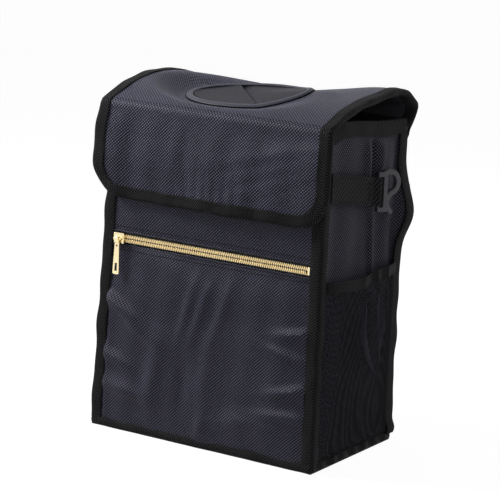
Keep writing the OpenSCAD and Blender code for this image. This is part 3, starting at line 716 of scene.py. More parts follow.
def make_front(body):
    """The front pocket, the cloth above the zip, and the hems and stitches along it."""
    (_, _, z0), (_, _, z1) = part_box("pocket_panel")

    def pocket(x, z):
        """The pocket swells in its middle, with folds that run in from both seams, a lap
        over the left tape and puckers along the seams."""
        held = edge_hold(x, z, z0, z1, 0.03)
        free = smooth01((half_width(z) - 0.0060 - np.abs(x)) / 0.005)
        out = body.puff * held + folds(x, z, POCKET_FOLDS) * free
        out = out + ripples(x, z, 0.055, 0.0011) * (0.3 + 0.7 * held)
        over_tape = bell((x + half_width(z) - 0.0105) / 0.0045)
        out = out + 0.0024 * over_tape * smooth01((0.130 - z) / 0.02) * held ** 0.3
        seam = bell((half_width(z) - 0.0095 - np.abs(x)) / 0.006)
        pucker = np.sin(math.tau * z / 0.0135 + 3 * np.sin(z * 61)) * seam
        return out + 0.00035 * pucker - 0.0004 * seam

    def upper(x, z):
        """The cloth above the zip: a slight swell and ripples."""
        held = edge_hold(x, z, LIP_Z, RIM_Z, 0.02)
        return 0.0012 * held + ripples(x, z, 0.07, 0.0005, 1.0) * held

    z = np.concatenate([even(z0, z1 - 0.004, body.grid_step), [z1 - 0.002, z1]])
    face_cloth("front_pocket", "pocket_panel", z, FRONT_Y, -1, pocket, "body_cloth")
    face_cloth("front_top_cloth", "front_upper", even(LIP_Z, RIM_Z, body.grid_step), FRONT_Y,
               -1, upper, "body_cloth")
    x = even(-half_width(z1) + body.tape_w, half_width(z1) - body.tape_w, 0.002)
    hem_radius, row_below = 0.0008, 0.0042
    hems, rows = [], []
    for edge, way, swell in ((z1, 1, pocket), (LIP_Z, -1, upper)):
        roll = turn_points((FRONT_Y - 0.0001, edge), hem_radius, 0, 345, 12)
        wave = 0.0002 * np.sin(x * 310 + way)
        hems.append(swept(joined(x[:, None], roll[:, 0], roll[:, 1] + wave[:, None])))
        row_z = np.full_like(x, edge - way * row_below)
        row = joined(x, FRONT_Y - swell(x, row_z) - 0.0001, row_z)
        rows.append(stitch_row(row, (0, -1, 0)))
    make_piece("zip_hems", hems, "body_cloth")
    make_piece("zip_stitches", rows, "sewing_thread")


def make_walls(body):
    """The sides, the back and the underside."""
    zs = even(0, RIM_Z, body.grid_step * 1.2)
    zz, yy = grid(zs, even(FRONT_Y, BACK_Y, body.grid_step))
    held = (clip01((HALF_DEPTH - np.abs(yy - MIDDLE_Y) - 0.008) / 0.02)
            * clip01((RIM_Z - zz) / 0.02) * clip01(zz / 0.02))
    held = np.sin(held * math.pi / 2)
    below_tape = smooth01((RIM_Z - body.rim_tape + 0.001 - zz) / 0.010)
    for side, sign in SIDES:
        out = (ripples(yy, zz, 0.075, 0.0011, sign) - 0.0016) * held
        out = out + folds(yy, zz, SIDE_FOLDS) * held * below_tape
        out = out + back_bulge(zz) * bell((BACK_Y - yy) / 0.014)
        up = zz + rim_lift(sign * half_width(zz), yy, zz)
        sheet = shell(joined(sign * (half_width(zz) + out), yy, up),
                      joined(sign * (half_width(zz) - body.wall + 0.0012), yy, up),
                      joined(yy, zz))
        cloth = make_piece(f"side_cloth_{side}", [sheet], "side_cloth",
                           [f"{side}_panel", f"{side}_board"])

    def back(x, z):
        """The back cloth: a slight swell, ripples and one slanting fold."""
        held = edge_hold(x, z, 0, RIM_Z, 0.03)
        return (0.0012 + ripples(x, z, 0.09, 0.0010, 2.0)
                + folds(x, z, [(30, 120, 80, 12, 1, 60)])) * held

    face_cloth("back_cloth", "back_panel", zs, BACK_Y, 1, back, "side_cloth")
    xx, yy = grid(even(-HALF_BASE + CLOTH, HALF_BASE - CLOTH, 0.004),
                  even(FRONT_Y + CLOTH, BACK_Y - CLOTH, 0.004))
    share = (1 - (xx / HALF_BASE) ** 4) * (1 - ((yy - MIDDLE_Y) / HALF_DEPTH) ** 4)
    lift = (0.0009 + ripples(xx, yy, 0.05, 0.0002)) * share
    sheet = shell(joined(xx, yy, lift), joined(xx, yy, lift + CLOTH), joined(xx, yy))
    cloth = make_piece("underside_cloth", [sheet], "side_cloth", ["base_panel", "base_board"])


def ring_solid(outline, moves, straight=40):
    """A tape that runs right round the body: for each outline point (out, z) a rounded
    rectangle, raised and moved out by waves that depend on the place along it."""
    rings = []
    for out, z in outline:
        points, ways = rounded_loop(half_width(z) + out, HALF_DEPTH + out,
                                    0.003 + max(out, -0.002), straight)
        rise, bulge = moves(math.tau * np.arange(len(points)) / len(points), z)
        x, y = (points + ways * bulge[:, None]).T
        y = y + MIDDLE_Y
        rings.append(joined(x, y, z + rise + rim_lift(x, y, z)))
    return swept(np.stack(rings, axis=1), closed=True)


def make_tapes(body):
    """The binding tapes on the rim, the base and the corners."""
    half, low = body.tape_t / 2, RIM_Z - body.rim_tape
    inside = -body.wall - half

    def rim_moves(at, z):
        """Waves of the rim tape, at being the angle round the body."""
        return (0.0006 * np.sin(at * 9 + 1) * (0.4 + 0.6 * (z < RIM_Z - 0.004)),
                0.0003 * np.sin(at * 17) + 0.0002 * np.sin(at * 5))

    rim_r, turn_z = 0.0012, RIM_Z - 0.0007
    line = [(half, low), (half, RIM_Z - 0.001),
            *turn_points((half - rim_r, turn_z), rim_r, 0, 90, 5),
            (inside + rim_r, RIM_Z + half - 0.0001),
            *turn_points((inside + rim_r, turn_z), rim_r, 90, 180, 5), (inside, low)]
    make_piece("rim_tape", [ring_solid(band_outline(line, body.tape_t, 0.002), rim_moves)],
               "edge_tape", ["rim_binding"])

    def foot_moves(at, z):
        """Waves of the base tape, stronger and worn along the right side, which is the
        first quarter of the way round."""
        turn = at / math.tau
        right = clip01(np.minimum(turn, 0.25 - turn) / 0.03)
        wave = np.sin(at * 11) + 0.6 * np.sin(at * 23 + 2)
        worn = 0.0011 * (1 + np.sin(turn * 190) * np.sin(turn * 83 + 0.5)) * right
        rise = (0.0006 * wave + worn * 0.8 if z > 0.004
                else 0.0004 * (1 + wave / 1.6) + worn)
        return rise, (0.0005 * np.sin(at * 14 + 0.5)
                      + (0.0003 + 0.0007 * right) * np.sin(at * 31))

    mid, top = body.foot_out / 2, body.foot_tape
    line = [(0.0003, top), (mid * 0.8, top - 0.0012), (mid * 1.3, top * 0.5),
            (mid * 1.2, 0.0016), (0.0006, 0.0009)]
    outline = band_outline(line, body.foot_out * 0.62)
    outline[:, 1] = np.maximum(outline[:, 1], 0.0)
    make_piece("foot_tape", [ring_solid(outline, foot_moves, 60)], "edge_tape",
               ["base_binding"])
    round_r = 0.0024
    z = even(body.foot_tape - 0.001, low + 0.001, 0.0025)[:, None]
    for sy, place in ((-1, "front"), (1, "back")):
        for side, sx in SIDES:
            phase = sx + 2 * sy
            on_side_w = body.tape_w + 0.004 * (sy > 0)
            line = [(-body.tape_w, half), (-round_r, half),
                    *turn_points((half - round_r, half - round_r), round_r, 90, 0, 7),
                    (half, -on_side_w)]
            p, q = band_outline(line, body.tape_t, 0.0012).T
            ends = clip01(np.minimum(np.abs(p + body.tape_w), np.abs(q + on_side_w)) / 0.004)
            wave = 0.0003 * np.sin(z * 180 + phase) + 0.00025 * np.sin(z * 75 + 2 * phase)
            full = (0.0006 + 0.0003 * np.sin(z * 120 + phase)) * ends
            back = (back_bulge(z) + 0.0024 * bell((z - 0.011) / 0.007)) * (sy > 0)
            x = half_width(z) + p + wave + back + full * (p > -0.002)
            y = HALF_DEPTH + q + wave * 0.6 + 1.4 * back + full * (q > -0.002)
            make_piece(f"corner_tape_{place}_{side}",
                       [swept(joined(sx * x, MIDDLE_Y + sy * y, z))],
                       "edge_tape", [f"corner_{place}_{side}"])


def make_liner(body):
    """The liner: rounded rectangles growing over the floor and then rising up the walls,
    pushed in by ripples and a crumple under the rim."""
    floor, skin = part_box("liner")[0][2], 0.0008
    wide, deep = HALF_BASE - body.wall, HALF_DEPTH - body.wall
    rows = []
    for share in (0.004, 0.2, 0.4, 0.6, 0.8, 0.94):
        x, y = rounded_loop(wide * share, deep * share, 0.008 * share)[0].T
        lift = 0.0006 * (1 - share) + ripples(x, y, 0.06, 0.0006)
        rows.append(joined(x, y + MIDDLE_Y, floor + skin + 0.0007 + lift))
    for height in (floor + 0.0025, *even(floor + 0.008, RIM_Z - 0.001, 0.005)):
        points, ways = rounded_loop(half_width(height) - body.wall, deep, 0.008)
        at = np.arange(len(points)) / len(points)
        wave = ripples(at * 0.7, height, 0.05, 0.0012, 4.0)
        crumple = 0.0012 * np.sin(at * math.tau * 21) * bell((height - RIM_Z + 0.03) / 0.03)
        inwards = (np.clip(0.0012 + wave + crumple, 0.0001, 0.004)
                   * clip01((RIM_Z - 0.012 - height) / 0.02))
        x, y = (points - ways * inwards[:, None]).T
        y = y + MIDDLE_Y
        rows.append(joined(x, y, height + rim_lift(x + 0.005, y, height)))
    inner = np.stack(rows)
    up = np.linalg.norm(np.diff(inner, axis=0), axis=2).mean(axis=1)
    uv = joined(*grid(np.concatenate([[0], np.cumsum(up)]),
                      run_along(np.concatenate([inner[-1], inner[-1][:1]]))))
    normal = unit(np.cross(np.gradient(inner, axis=0),
                           np.roll(inner, -1, axis=1) - np.roll(inner, 1, axis=1)))
    centre = np.array([0, MIDDLE_Y, 0.14])
    way = np.sign(np.sum(normal * (inner - centre), axis=-1).mean())
    cloth = make_piece("liner_cloth", [shell(inner + way * normal * skin, inner, uv, wrap=True)],
                       "lining_cloth", ["liner"])


# Zip
def teeth(at, box, way, sizes):
    """A row of teeth: each a bar across the row, slanted along it, thicker in its middle
    and rounded on its face. Its sections are set at five heights."""
    (_, y0, z0), (_, y1, z1) = box
    height = np.linspace(0, 1, 5)[:, None]
    wide = sizes.tooth * np.array([[0.55], [1.0], [0.92], [0.95], [0.7]])
    front = np.array([[0.35], [0.85], [1.0], [1.0], [0.6]])
    across = np.array([-0.5, -0.5, -0.28, 0.28, 0.5, 0.5])
    back = np.array([1.0, 0.35, 0.0, 0.0, 0.35, 1.0])
    x = at[:, None, None] - way * sizes.slant * (height - 0.5) * (z1 - z0) + wide * across
    y = y0 + (y1 - y0) * 0.75 * ((1 - front) * 0.4 + back)
    z = z0 + height * (z1 - z0) if way > 0 else z1 - height * (z1 - z0)
    return repeated(joined(x, y, z),
                    [[0, 1, 4, 5], [1, 2, 3, 4], [29, 28, 25, 24], [28, 27, 26, 25]])


def make_zip(sizes):
    """The zip's tapes, teeth, stops, slider and pull."""
    for half, way in (("lower", -1), ("upper", 1)):
        (x0, y0, z0), (x1, y1, z1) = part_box(f"zip_tape_{half}")
        xx, zz = grid(even(x0, x1, 0.004), even(z0, z1, 0.0015))
        front = y0 + 0.0001 - 0.00015 * np.sin(xx * 160 + way)
        make_piece(f"zip_cloth_{half}",
                   [shell(joined(xx, front, zz), joined(xx, y1, zz), joined(xx, zz))],
                   "zip_cloth", [f"zip_tape_{half}"])
        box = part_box(f"zip_teeth_{half}")
        at = even(box[0][0] + sizes.pitch, box[1][0] - sizes.pitch, sizes.pitch)
        at = at + (way > 0) * sizes.pitch / 2
        make_piece(f"zip_teeth_{half}_row", [teeth(at, box, way, sizes)], "gold_metal",
                   [f"zip_teeth_{half}"])
    rounded_copy("zip_end_stops", "zip_stops", 0.0004, "gold_metal", "shell")
    rounded_copy("zip_slider_body", "zip_slider", 0.0006, "gold_metal", "slider")
    rounded_copy("zip_pull", "pull_tab", 0.0004, "gold_metal", "pull", taper=0.38)


# Sides
def on_side(out, y, up, sign):
    """A place on a side wall: out of it, over the depth, and up along its slope."""
    x = HALF_BASE + out * math.cos(TAPER) - up * math.sin(TAPER)
    return joined(sign * x, y, out * math.sin(TAPER) + up * math.cos(TAPER))


class Net:
    """A mesh pocket as a surface: across from -1 to 1 over the depth, up from 0 to 1."""

    def __init__(self, side, sign):
        self.sign = sign
        (x0, self.y0, self.z0), (x1, self.y1, self.top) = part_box(f"mesh_pocket_{side}")
        self.half = (self.y1 - self.y0) / 2
        self.room = abs(x1 if sign > 0 else x0) - HALF_BASE

    def sag(self, across):
        """How far the top hangs down: deepest a little in front of its middle."""
        return 0.0030 * bell((across + 0.25) / 0.5) - 0.0012 * clip01(across)

    def out(self, across, up):
        """How far it stands off the wall: flat at its sewn edges, full between, with
        gathers that run down from the band towards the back."""
        wide = clip01(1 - np.abs(across) ** 3.2) ** 0.55
        high = 0.3 + 0.7 * smooth01(up / 0.35) - 0.12 * smooth01((up - 0.6) / 0.4)
        return (0.0006 + (self.room - 0.0010) * wide * high * clip01(up / 0.03) ** 0.5
                + 0.0021 * folds(across, up, NET_GATHERS, 1))

    def y(self, across):
        """The place over the depth."""
        return MIDDLE_Y + across * self.half

    def rise(self, across, up):
        """The height along the wall: up times the pocket's height less its sag."""
        return self.z0 + up * (self.top + 0.002 - self.z0 - self.sag(across))

    def cloth(self, step=0.0019):
        """The net's diamonds: each odd point of a grid, with its four neighbours."""
        rows = 2 * (int((self.top - self.z0) / step) // 2) + 1
        cols = 2 * (int((self.y1 - self.y0) / step) // 2) + 1
        up, yy = grid(np.linspace(0, 1, rows), np.linspace(self.y0, self.y1, cols))
        across = (yy - MIDDLE_Y) / self.half
        height = self.rise(across, up)
        i, j = grid(np.arange(1, rows - 1), np.arange(1, cols - 1))
        middle = (i * cols + j)[(i + j) % 2 == 1]
        quads = joined(middle - cols, middle - 1, middle + cols, middle + 1)[:, ::-self.sign]
        used, corners = np.unique(quads, return_inverse=True)
        points = on_side(self.out(across, up), yy, height, self.sign)
        return (points.reshape(-1, 3)[used], corners.reshape(-1, 4),
                joined(yy, height).reshape(-1, 2)[quads])

    def pleats(self):
        """Two crescents of doubled net under the band: a middle line through four places,
        as wide as a half sine along it."""
        parts = []
        along, share = np.linspace(0, 1, 40), np.linspace(-1, 1, 9)
        for ups, places, half in (((0.95, 0.75, 0.58, 0.40), (0.04, -0.14, 0.02, 0.36), 0.09),
                                  ((0.95, 0.80, 0.66, 0.42), (0.30, 0.46, 0.54, 0.30), 0.075)):
            up = np.interp(along, np.linspace(0, 1, 4), ups)[:, None]
            line = softened(np.interp(along, np.linspace(0, 1, 4), places), 40)
            wide = half * np.sin(along * 0.94 * math.pi + 0.03 * math.pi)
            across = line[:, None] + wide[:, None] * share
            out, yy, zz = self.out(across, up), self.y(across), self.rise(across, up)
            crown = 0.0007 * (1 - share ** 2)
            parts.append(shell(on_side(out + 0.0007 + crown, yy, zz, self.sign),
                               on_side(out + 0.0002, yy, zz, self.sign), joined(yy, zz)))
        return parts

    def band(self, high):
        """The elastic band along the top, a tape that follows the net's upper edge."""
        across = even(-1, 1, 0.02)[:, None]
        out = self.out(across, 1.0)
        out = np.maximum(softened(out, 12), out - 0.0004)
        p, q = band_outline([(0, 0), (0.0004, high / 2), (0, high)], 0.0014).T
        return swept(on_side(out + p + 0.0003, self.y(across),
                             self.top - self.sag(across) + q, self.sign))

    def stitches(self):
        """Stitches along the band's two edges."""
        across = even(-0.98, 0.98, 0.02)
        out, top = self.out(across, 1.0) + 0.0012, self.top - self.sag(across)
        return [stitch_row(on_side(out, self.y(across), top + rise, self.sign),
                           (self.sign, 0, 0), thick=0.0004) for rise in (0.0016, 0.0084)]


def make_pockets():
    """The mesh pockets with their pleats, elastic bands and stitches."""
    thread, ease, thread_share = 0.0007, 1.06, 0.56
    for side, sign in SIDES:
        net = Net(side, sign)
        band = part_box(f"pocket_band_{side}")
        mesh = make_piece(f"mesh_cloth_{side}", [net.cloth()], "mesh_thread",
                          [f"mesh_pocket_{side}"])
        wire = mesh.modifiers.new("Threads", "WIREFRAME")
        wire.thickness = thread
        wire.use_even_offset = False
        wire.use_boundary = True
        with_net = [make_piece(f"mesh_pleats_{side}", net.pleats(), "net_cloth"),
                    make_piece(f"pocket_elastic_{side}", [net.band(band[1][2] - band[0][2])],
                               "elastic", [f"pocket_band_{side}"]),
                    make_piece(f"pocket_stitches_{side}", net.stitches(), "sewing_thread")]


def make_straps(body):
    """The side straps with their hooks, and the belt loops on the back."""
    droop = math.tan(math.radians(7.6))
    strap_w, half_thick, eye_r, row_out = 0.025, 0.00065, 0.0026, 0.0105
    start = FRONT_Y + body.tape_w - 0.001
    for side, sign in SIDES:
        x, end, z = JOINTS[f"hook_{side}_swing"]["pos_m"]
        x = abs(x) - HALF_BASE
        eye_out = x * math.cos(TAPER) + z * math.sin(TAPER)
        eye_up = -x * math.sin(TAPER) + z * math.cos(TAPER)
        line = np.concatenate([
            [(0.0007, y) for y in even(start, end - 0.002, 0.004)],
            turn_points((eye_out, end), eye_r, 180, 0, 13),
            [(0.0021, y) for y in even(start, end - 0.009, 0.004)[::-1]]])
        line, out, y, up = webbing_sections(line, 120, 2, strap_w, half_thick)
        middle = eye_up + np.maximum(end - line[:, 1], 0) * droop
        make_piece(f"side_strap_{side}", [swept(on_side(out, y, middle[:, None] + up, sign))],
                   "webbing", [f"strap_{side}"])
        y, up = even(start + 0.012, end - 0.016, 0.002), even(-row_out, row_out, 0.002)
        rows = [(y, shift) for shift in (up[0], up[-1])] + [(end - 0.013, up), (end - 0.0165, up)]
        make_piece(f"strap_stitches_{side}", [
            stitch_row(on_side(0.0030, y, eye_up + (end - y) * droop + up, sign), (sign, 0, 0))
            for y, up in rows], "sewing_thread")
        rounded_copy(f"swing_hook_{side}", f"hook_{side}", 0.0007, "hook_plastic",
                     f"hook_{side}")
    belt_loops(body)


def belt_loops(body):
    """The webbing on the back: from a corner post, round a turn, straight to the sewn
    middle and on to the other corner."""
    (_, _, z0), (x1, y1, z1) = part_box("back_strap")
    post, face, turn_r, tab = x1 - 0.0008, BACK_Y + body.tape_t, 0.008, 0.016
    out_y = y1 - turn_r
    turn_end = turn_points((post - turn_r, out_y), turn_r, 0, 98, 12)
    right = np.concatenate([[(post, face - 0.0006), (post, (face + out_y) / 2)], turn_end,
                            [((tab + post) / 2, (turn_end[-1, 1] + BACK_Y) / 2 + 0.0004),
                             (tab + 0.004, BACK_Y + 0.0022), (tab, BACK_Y + 0.001)]])
    line = np.concatenate([right, [(0, BACK_Y + 0.001)], right[::-1] * [-1, 1]])
    line, x, y, up = webbing_sections(line, 200, 3, z1 - z0, 0.0008)
    sag = -0.0018 * np.sin(clip01(np.abs(line[:, :1]) / post) * math.pi) ** 2
    make_piece("belt_loop_webbing", [swept(joined(x, y, (z0 + z1) / 2 + up + sag))],
               "webbing", ["back_strap"])
    across, up = even(0.003 - tab, tab - 0.003, 0.002), even(z0 + 0.002, z1 - 0.002, 0.002)
    rows = ((across[0], up), (across[-1], up), (across, up[0]), (across, up[-1]))
    make_piece("belt_loop_stitches",
               [stitch_row(joined(x, BACK_Y + 0.0019, z), (0, 1, 0)) for x, z in rows],
               "sewing_thread")


# Lid
def wing(insert, x, y):
    """The insert is bent along its slit: its right half rises with the distance from the
    slit, less towards the back."""
    turn = math.radians(insert.slit_turn)
    away = (x - insert.middle_x) * math.sin(turn) - (y - insert.middle_y) * math.cos(turn)
    ramp = (away + np.sqrt(away ** 2 + 0.003 ** 2)) / 2
    return insert.wing * ramp * (1 - 0.8 * smooth01((y - insert.middle_y) / 0.034))


class LidShape:
    """The lid as a surface of two parameters: x across, and s along its middle line from the
    flap's lower edge to the hinge, nought at the fold."""

    def __init__(self, lid, insert):
        self.lid, self.insert = lid, insert
        start = math.asin((FOLD_Y - lid.arch_y) / lid.arch_r)
        self.arch_z = FOLD_Z - lid.arch_r * math.cos(start)
        end_y = BACK_Y + lid.reach
        end = math.asin((end_y - lid.arch_y) / lid.arch_r)
        arch = np.linspace(start, end, 400)
        roll = np.linspace(end, math.radians(lid.roll_end), 80)[1:]
        roll_y = end_y - lid.roll_r * math.sin(end)
        roll_z = self.arch_z + (lid.arch_r - lid.roll_r) * math.cos(end)
        line = np.concatenate([
            joined(FOLD_Y, np.linspace(FOLD_Z - lid.flap_l, FOLD_Z, 201)[:-1]),
            joined(lid.arch_y + lid.arch_r * np.sin(arch),
                   self.arch_z + lid.arch_r * np.cos(arch)),
            joined(roll_y + lid.roll_r * np.sin(roll), roll_z + lid.roll_r * np.cos(roll))])
        tail = line[-1] + np.linspace(0, 1, 60)[1:, None] * ((HINGE_Y, HINGE_Z) - line[-1])
        line = np.concatenate([line, tail])
        run = np.concatenate([[0], np.cumsum(np.hypot(*np.diff(line, axis=0).T))])
        s = run - run[200]
        fine = np.arange(s[0], s[-1], 0.0005)
        line = sample(line, s, fine)
        near = np.abs(fine) < 2 * lid.crease
        count = int(lid.crease / 0.0005)
        kernel = np.hanning(2 * count + 1)
        for values in line.T:
            wider = np.pad(values, count, mode="reflect", reflect_type="odd")
            values[near] = np.convolve(wider, kernel / kernel.sum(), mode="valid")[near]
        self.s, self.line = fine, line
        self.normal = left_of(np.gradient(line, fine, axis=0))
        self.low, self.high = fine[0], fine[-1]
        self.insert_z = self.arch_z + lid.arch_r + lid.thick / 2 - insert.drop

    def at(self, s, off=0.0):
        """The place over the depth and the height at s, off by off along the normal."""
        return [np.interp(s, self.s, self.line[:, k])
                + off * np.interp(s, self.s, self.normal[:, k]) for k in (0, 1)]

    def way(self, s):
        """The middle line's normal at s."""
        return joined(0.0, *(np.interp(s, self.s, self.normal[:, k]) for k in (0, 1)))

    def rho(self, x, y, long, short):
        """Distance from the insert's middle, in half axes of an oval."""
        return np.hypot((x - self.insert.middle_x) / long, (y - self.insert.middle_y) / short)

    def sag(self, x, y):
        """How far the lid hangs below its arch: down to the insert's seat within the oval,
        fading out towards the lid's edges, with a dip behind. The seat's height is its
        middle's, plus lean times x, plus slope times y, plus the bend along the slit."""
        insert = self.insert
        seat = (self.insert_z + insert.lean * (x - insert.middle_x)
                + insert.slope * (y - insert.middle_y) + wing(insert, x, y))
        rho = self.rho(x, y, insert.half_long * 0.93, insert.half_short)
        top = self.arch_z + np.sqrt((self.lid.arch_r + self.lid.thick / 2) ** 2
                                    - np.clip(y - self.lid.arch_y, -0.12, 0.12) ** 2)
        behind = (insert.behind * smooth01((rho - 1.02) / 0.25)
                  * (1 - smooth01((rho - 1.8) / 0.8)) * bell((x - 0.012) / 0.050)
                  * smooth01((y - insert.middle_y) / 0.03))
        return (top - seat) * (1 - smooth01((rho - 1.1) / 0.63)) + behind

    def half(self, s):
        """Half the lid's width: full down to the flap's corner circle, then in along it."""
        radius = self.lid.flap_r
        corner = np.clip(radius - (s - self.low), 0, radius)
        return self.lid.half_w - radius + np.sqrt(np.clip(radius ** 2 - corner ** 2, 0, None))

    def bow(self, x, s):
        """The flap's side edges bow out by the belly in the flap's middle, more at left."""
        lid = self.lid
        bulge = np.sin(clip01((s + lid.flap_l) / lid.flap_l) * math.pi)
        left, right = clip01(-x / lid.half_w), clip01(x / lid.half_w)
        return (right ** 3 * 0.25 - left ** 3) * lid.belly * bulge

    def place(self, x, s, off):
        """The point off the middle line by off, let down by the sag, with the cloth's slow
        unevenness. At the right the lid rises behind and its tail draws in."""
        y, z = self.at(s, off)
        z = z - self.sag(x, y) * smooth01((s - 0.002) / 0.02) * smooth01((0.2 - s) / 0.02)
        right = smooth01((x - 0.02) / 0.08)
        back = right * smooth01((y + 0.015) / 0.065) * smooth01((z - HINGE_Z) / 0.03)
        tail = right * smooth01((y - 0.045) / 0.03) * smooth01((z - HINGE_Z) / 0.010)
        drop = smooth01((HINGE_Z + 0.034 - z) / 0.034) * smooth01((y - 0.03) / 0.03)
        x, y, z = x - 0.009 * right ** 2 * drop, y - 0.009 * tail, z + 0.0085 * back
        return joined(x + self.bow(x, s), y, z) + self.wave(x, s)[..., None] * self.way(s)

    def wave(self, x, s):
        """Slow unevenness of the flap: a belly, ripples, waves that grow downwards, and
        folds."""
        flap, lower = smooth01(-s / 0.02), smooth01(-(s + 0.03) / 0.05)
        return flap * (0.0022 * np.sin(clip01(-s / self.lid.flap_l) * math.pi)
                       + ripples(x, s, 0.060, 0.0011, 0.4)
                       + lower * (0.0011 * np.sin(x * 34 + 0.6)
                                  + 0.0004 * np.sin(x * 330 + 9 * np.sin(x * 40)))
                       + folds(x, s, FLAP_FOLDS))


def flap_bend(piece):
    """Bakes the piece's placement into its mesh."""
    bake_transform(piece)
    return piece


def lid_cover(shape, top, bottom, name, material, nodes, high):
    """One sheet of the lid between two distances from its middle line, with the oval hole
    cut. Grid points near the oval are moved onto it, so the hole's edge is clean."""
    lid, insert, step = shape.lid, shape.insert, 0.0022
    s = np.concatenate([
        shape.low + lid.flap_r * (1 - np.cos(np.linspace(0, math.pi / 2, 14))),
        even(shape.low + lid.flap_r + 0.002, high, step)])
    ss, xx = grid(s, even(-1, 1, step / lid.half_w))
    xx = xx * shape.half(ss)
    y_mid = shape.at(ss)[0]
    on_top = (ss > 0.01) & (ss < 0.18)
    under_ring = 0.0015
    inset = insert.ring_w - under_ring
    hole = insert.half_long - inset, insert.half_short - inset
    rho = shape.rho(xx, y_mid, *hole)
    dx, dy = xx - insert.middle_x, y_mid - insert.middle_y
    near = np.abs(rho - 1) * np.hypot(dx, dy) / np.maximum(rho, 1e-6) < step * 0.62
    scale = np.where(near & on_top, 1 / np.maximum(rho, 1e-6), 1.0)
    arch = (shape.s > 0.005) & (shape.s < 0.185)
    moved = np.interp(insert.middle_y + dy * scale, shape.line[arch, 0], shape.s[arch])
    xx = insert.middle_x + dx * scale
    ss = np.where(near & on_top, moved, ss)
    _, ii, jj = cells(*xx.shape)
    rho = shape.rho(xx, shape.at(ss)[0], *hole)[ii, jj].mean(axis=1)
    keep = ~((rho < 1) & on_top[ii, jj].all(axis=1))
    sheet = shell(shape.place(xx, ss, top), shape.place(xx, ss, bottom), joined(xx, ss), keep)
    piece = flap_bend(make_piece(name, [sheet], material, nodes, body=None))


def lid_edge(shape, lid):
    """The tape folded over the lid's edge: a U section carried along the edge, which follows
    the surface inwards and stands straight out beyond it. A row of stitches runs on it."""
    wide, thick = lid.tape_w, lid.tape_t
    half = (lid.thick + thick) / 2
    line = [(-wide, half), (-0.0012, half),
            *turn_points((-half + thick * 0.9, 0), half, 80, -80, 9),
            (-0.0012, -half), (-wide, -half)]
    b, n = band_outline(line, thick).T
    corner = np.linspace(0, math.pi / 2, 16)[1:]
    full_s = even(shape.low + lid.flap_r, shape.high - 0.006, 0.0035)[::-1]
    side_s = np.concatenate([full_s, shape.low + lid.flap_r * (1 - np.sin(corner))])
    side_x = np.concatenate([np.full(len(full_s), lid.half_w),
                             lid.half_w - lid.flap_r * (1 - np.cos(corner))])
    across = even(-lid.half_w + lid.flap_r, lid.half_w - lid.flap_r, 0.004)[1:-1]
    x = np.concatenate([-side_x, across, side_x[::-1]])
    s = np.concatenate([side_s, np.full(len(across), shape.low), side_s[::-1]])
    edge = joined(x, s)
    out = -left_of(np.gradient(edge, axis=0))
    middle = shape.place(x, s, 0.0)
    within = edge - out * 0.0004
    out_way = unit(middle - shape.place(within[:, 0], within[:, 1], 0.0))
    run = run_along(middle)
    wave = 0.0003 * np.sin(run * 210) + 0.0002 * np.sin(run * 95 + 1)
    full = 1 + 0.12 * np.sin(run * 160)
    inner = edge[:, None] + out[:, None] * np.minimum(b, 0)[:, None]
    rings = shape.place(inner[..., 0], inner[..., 1], 0.0)
    rings = rings + out_way[:, None] * (np.maximum(b, 0) + wave[:, None])[..., None]
    rings = rings + shape.way(s)[:, None] * (n * full[:, None])[..., None]
    flap_bend(make_piece("lid_edge_tape", [swept(rings)], "edge_tape",
                         ["lid_binding", "flap_binding"], body=None))
    row = edge - out * (wide - 0.0016)
    points = shape.place(row[:, 0], row[:, 1], half + thick * 0.5)
    flap_bend(make_piece("lid_edge_stitches", [stitch_row(points, shape.way(s), thick=0.0004)],
                         "sewing_thread", body=None))


def make_hinge(shape):
    """The strip that joins the lid's tail to the back, up from the seam tape and over the
    tail's outer face, and the seam tape under it."""
    (x0, y0, z0), (x1, y1, z1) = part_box("lid_seam")
    tail_y, tail_z = shape.at(shape.high - 0.010)
    line = np.array([(y1 - 0.0012, z0 + 0.001), (y1 - 0.0008, z1), (HINGE_Y + 0.0030, HINGE_Z),
                     (tail_y + 0.0022, tail_z + 0.0022)])
    x = even(x0 + 0.001, x1 - 0.001, 0.004)[:, None]
    piece = make_piece("hinge_cloth", [swept(joined(x, *band_outline(line, 0.0012, 0.0012).T))],
                       "edge_tape", body=None)
    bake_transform(piece)
    line = [(y0 + 0.0008, z0), (y1 - 0.0012, z0 + 0.0012), (y1 - 0.0010, z1 - 0.0012),
            (y0 + 0.0008, z1)]
    p, q = band_outline(line, 0.0016, 0.0012).T
    make_piece("hinge_seam_tape", [swept(joined(x, p, q + 0.0003 * np.sin(x * 190)))],
               "edge_tape", ["lid_seam"])


def make_closures():
    """The closing patches: pads with rounded edges, one pair on the flap and one on the
    front, each full in its middle by the twelfth power."""
    for node, body, way in (("flap_patches", "flap", 1), ("front_patches", "shell", -1)):
        (x0, y0, z0), (x1, y1, z1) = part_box(node)
        half_x, half_z = (z1 - z0) * 1.45, (z1 - z0) / 2
        xx, zz = grid(even(-half_x, half_x, 0.0015), even(z0, z1, 0.0015))
        full = (1 - (xx / half_x) ** 12) * (1 - ((zz - (z0 + z1) / 2) / half_z) ** 12)
        rise = (y1 - y0) * (0.45 + 0.5 * full) + ripples(xx, zz, 0.003, 0.00008)
        base = y0 if way > 0 else y1
        parts = [shell(joined(xx + centre, base + way * rise, zz),
                       joined(xx + centre, base, zz), joined(xx, zz))
                 for centre in (half_x - (x1 - x0) / 2, (x1 - x0) / 2 - half_x)]
        make_piece(node.replace("patches", "closure_pads"), parts, "closure", [node], body)


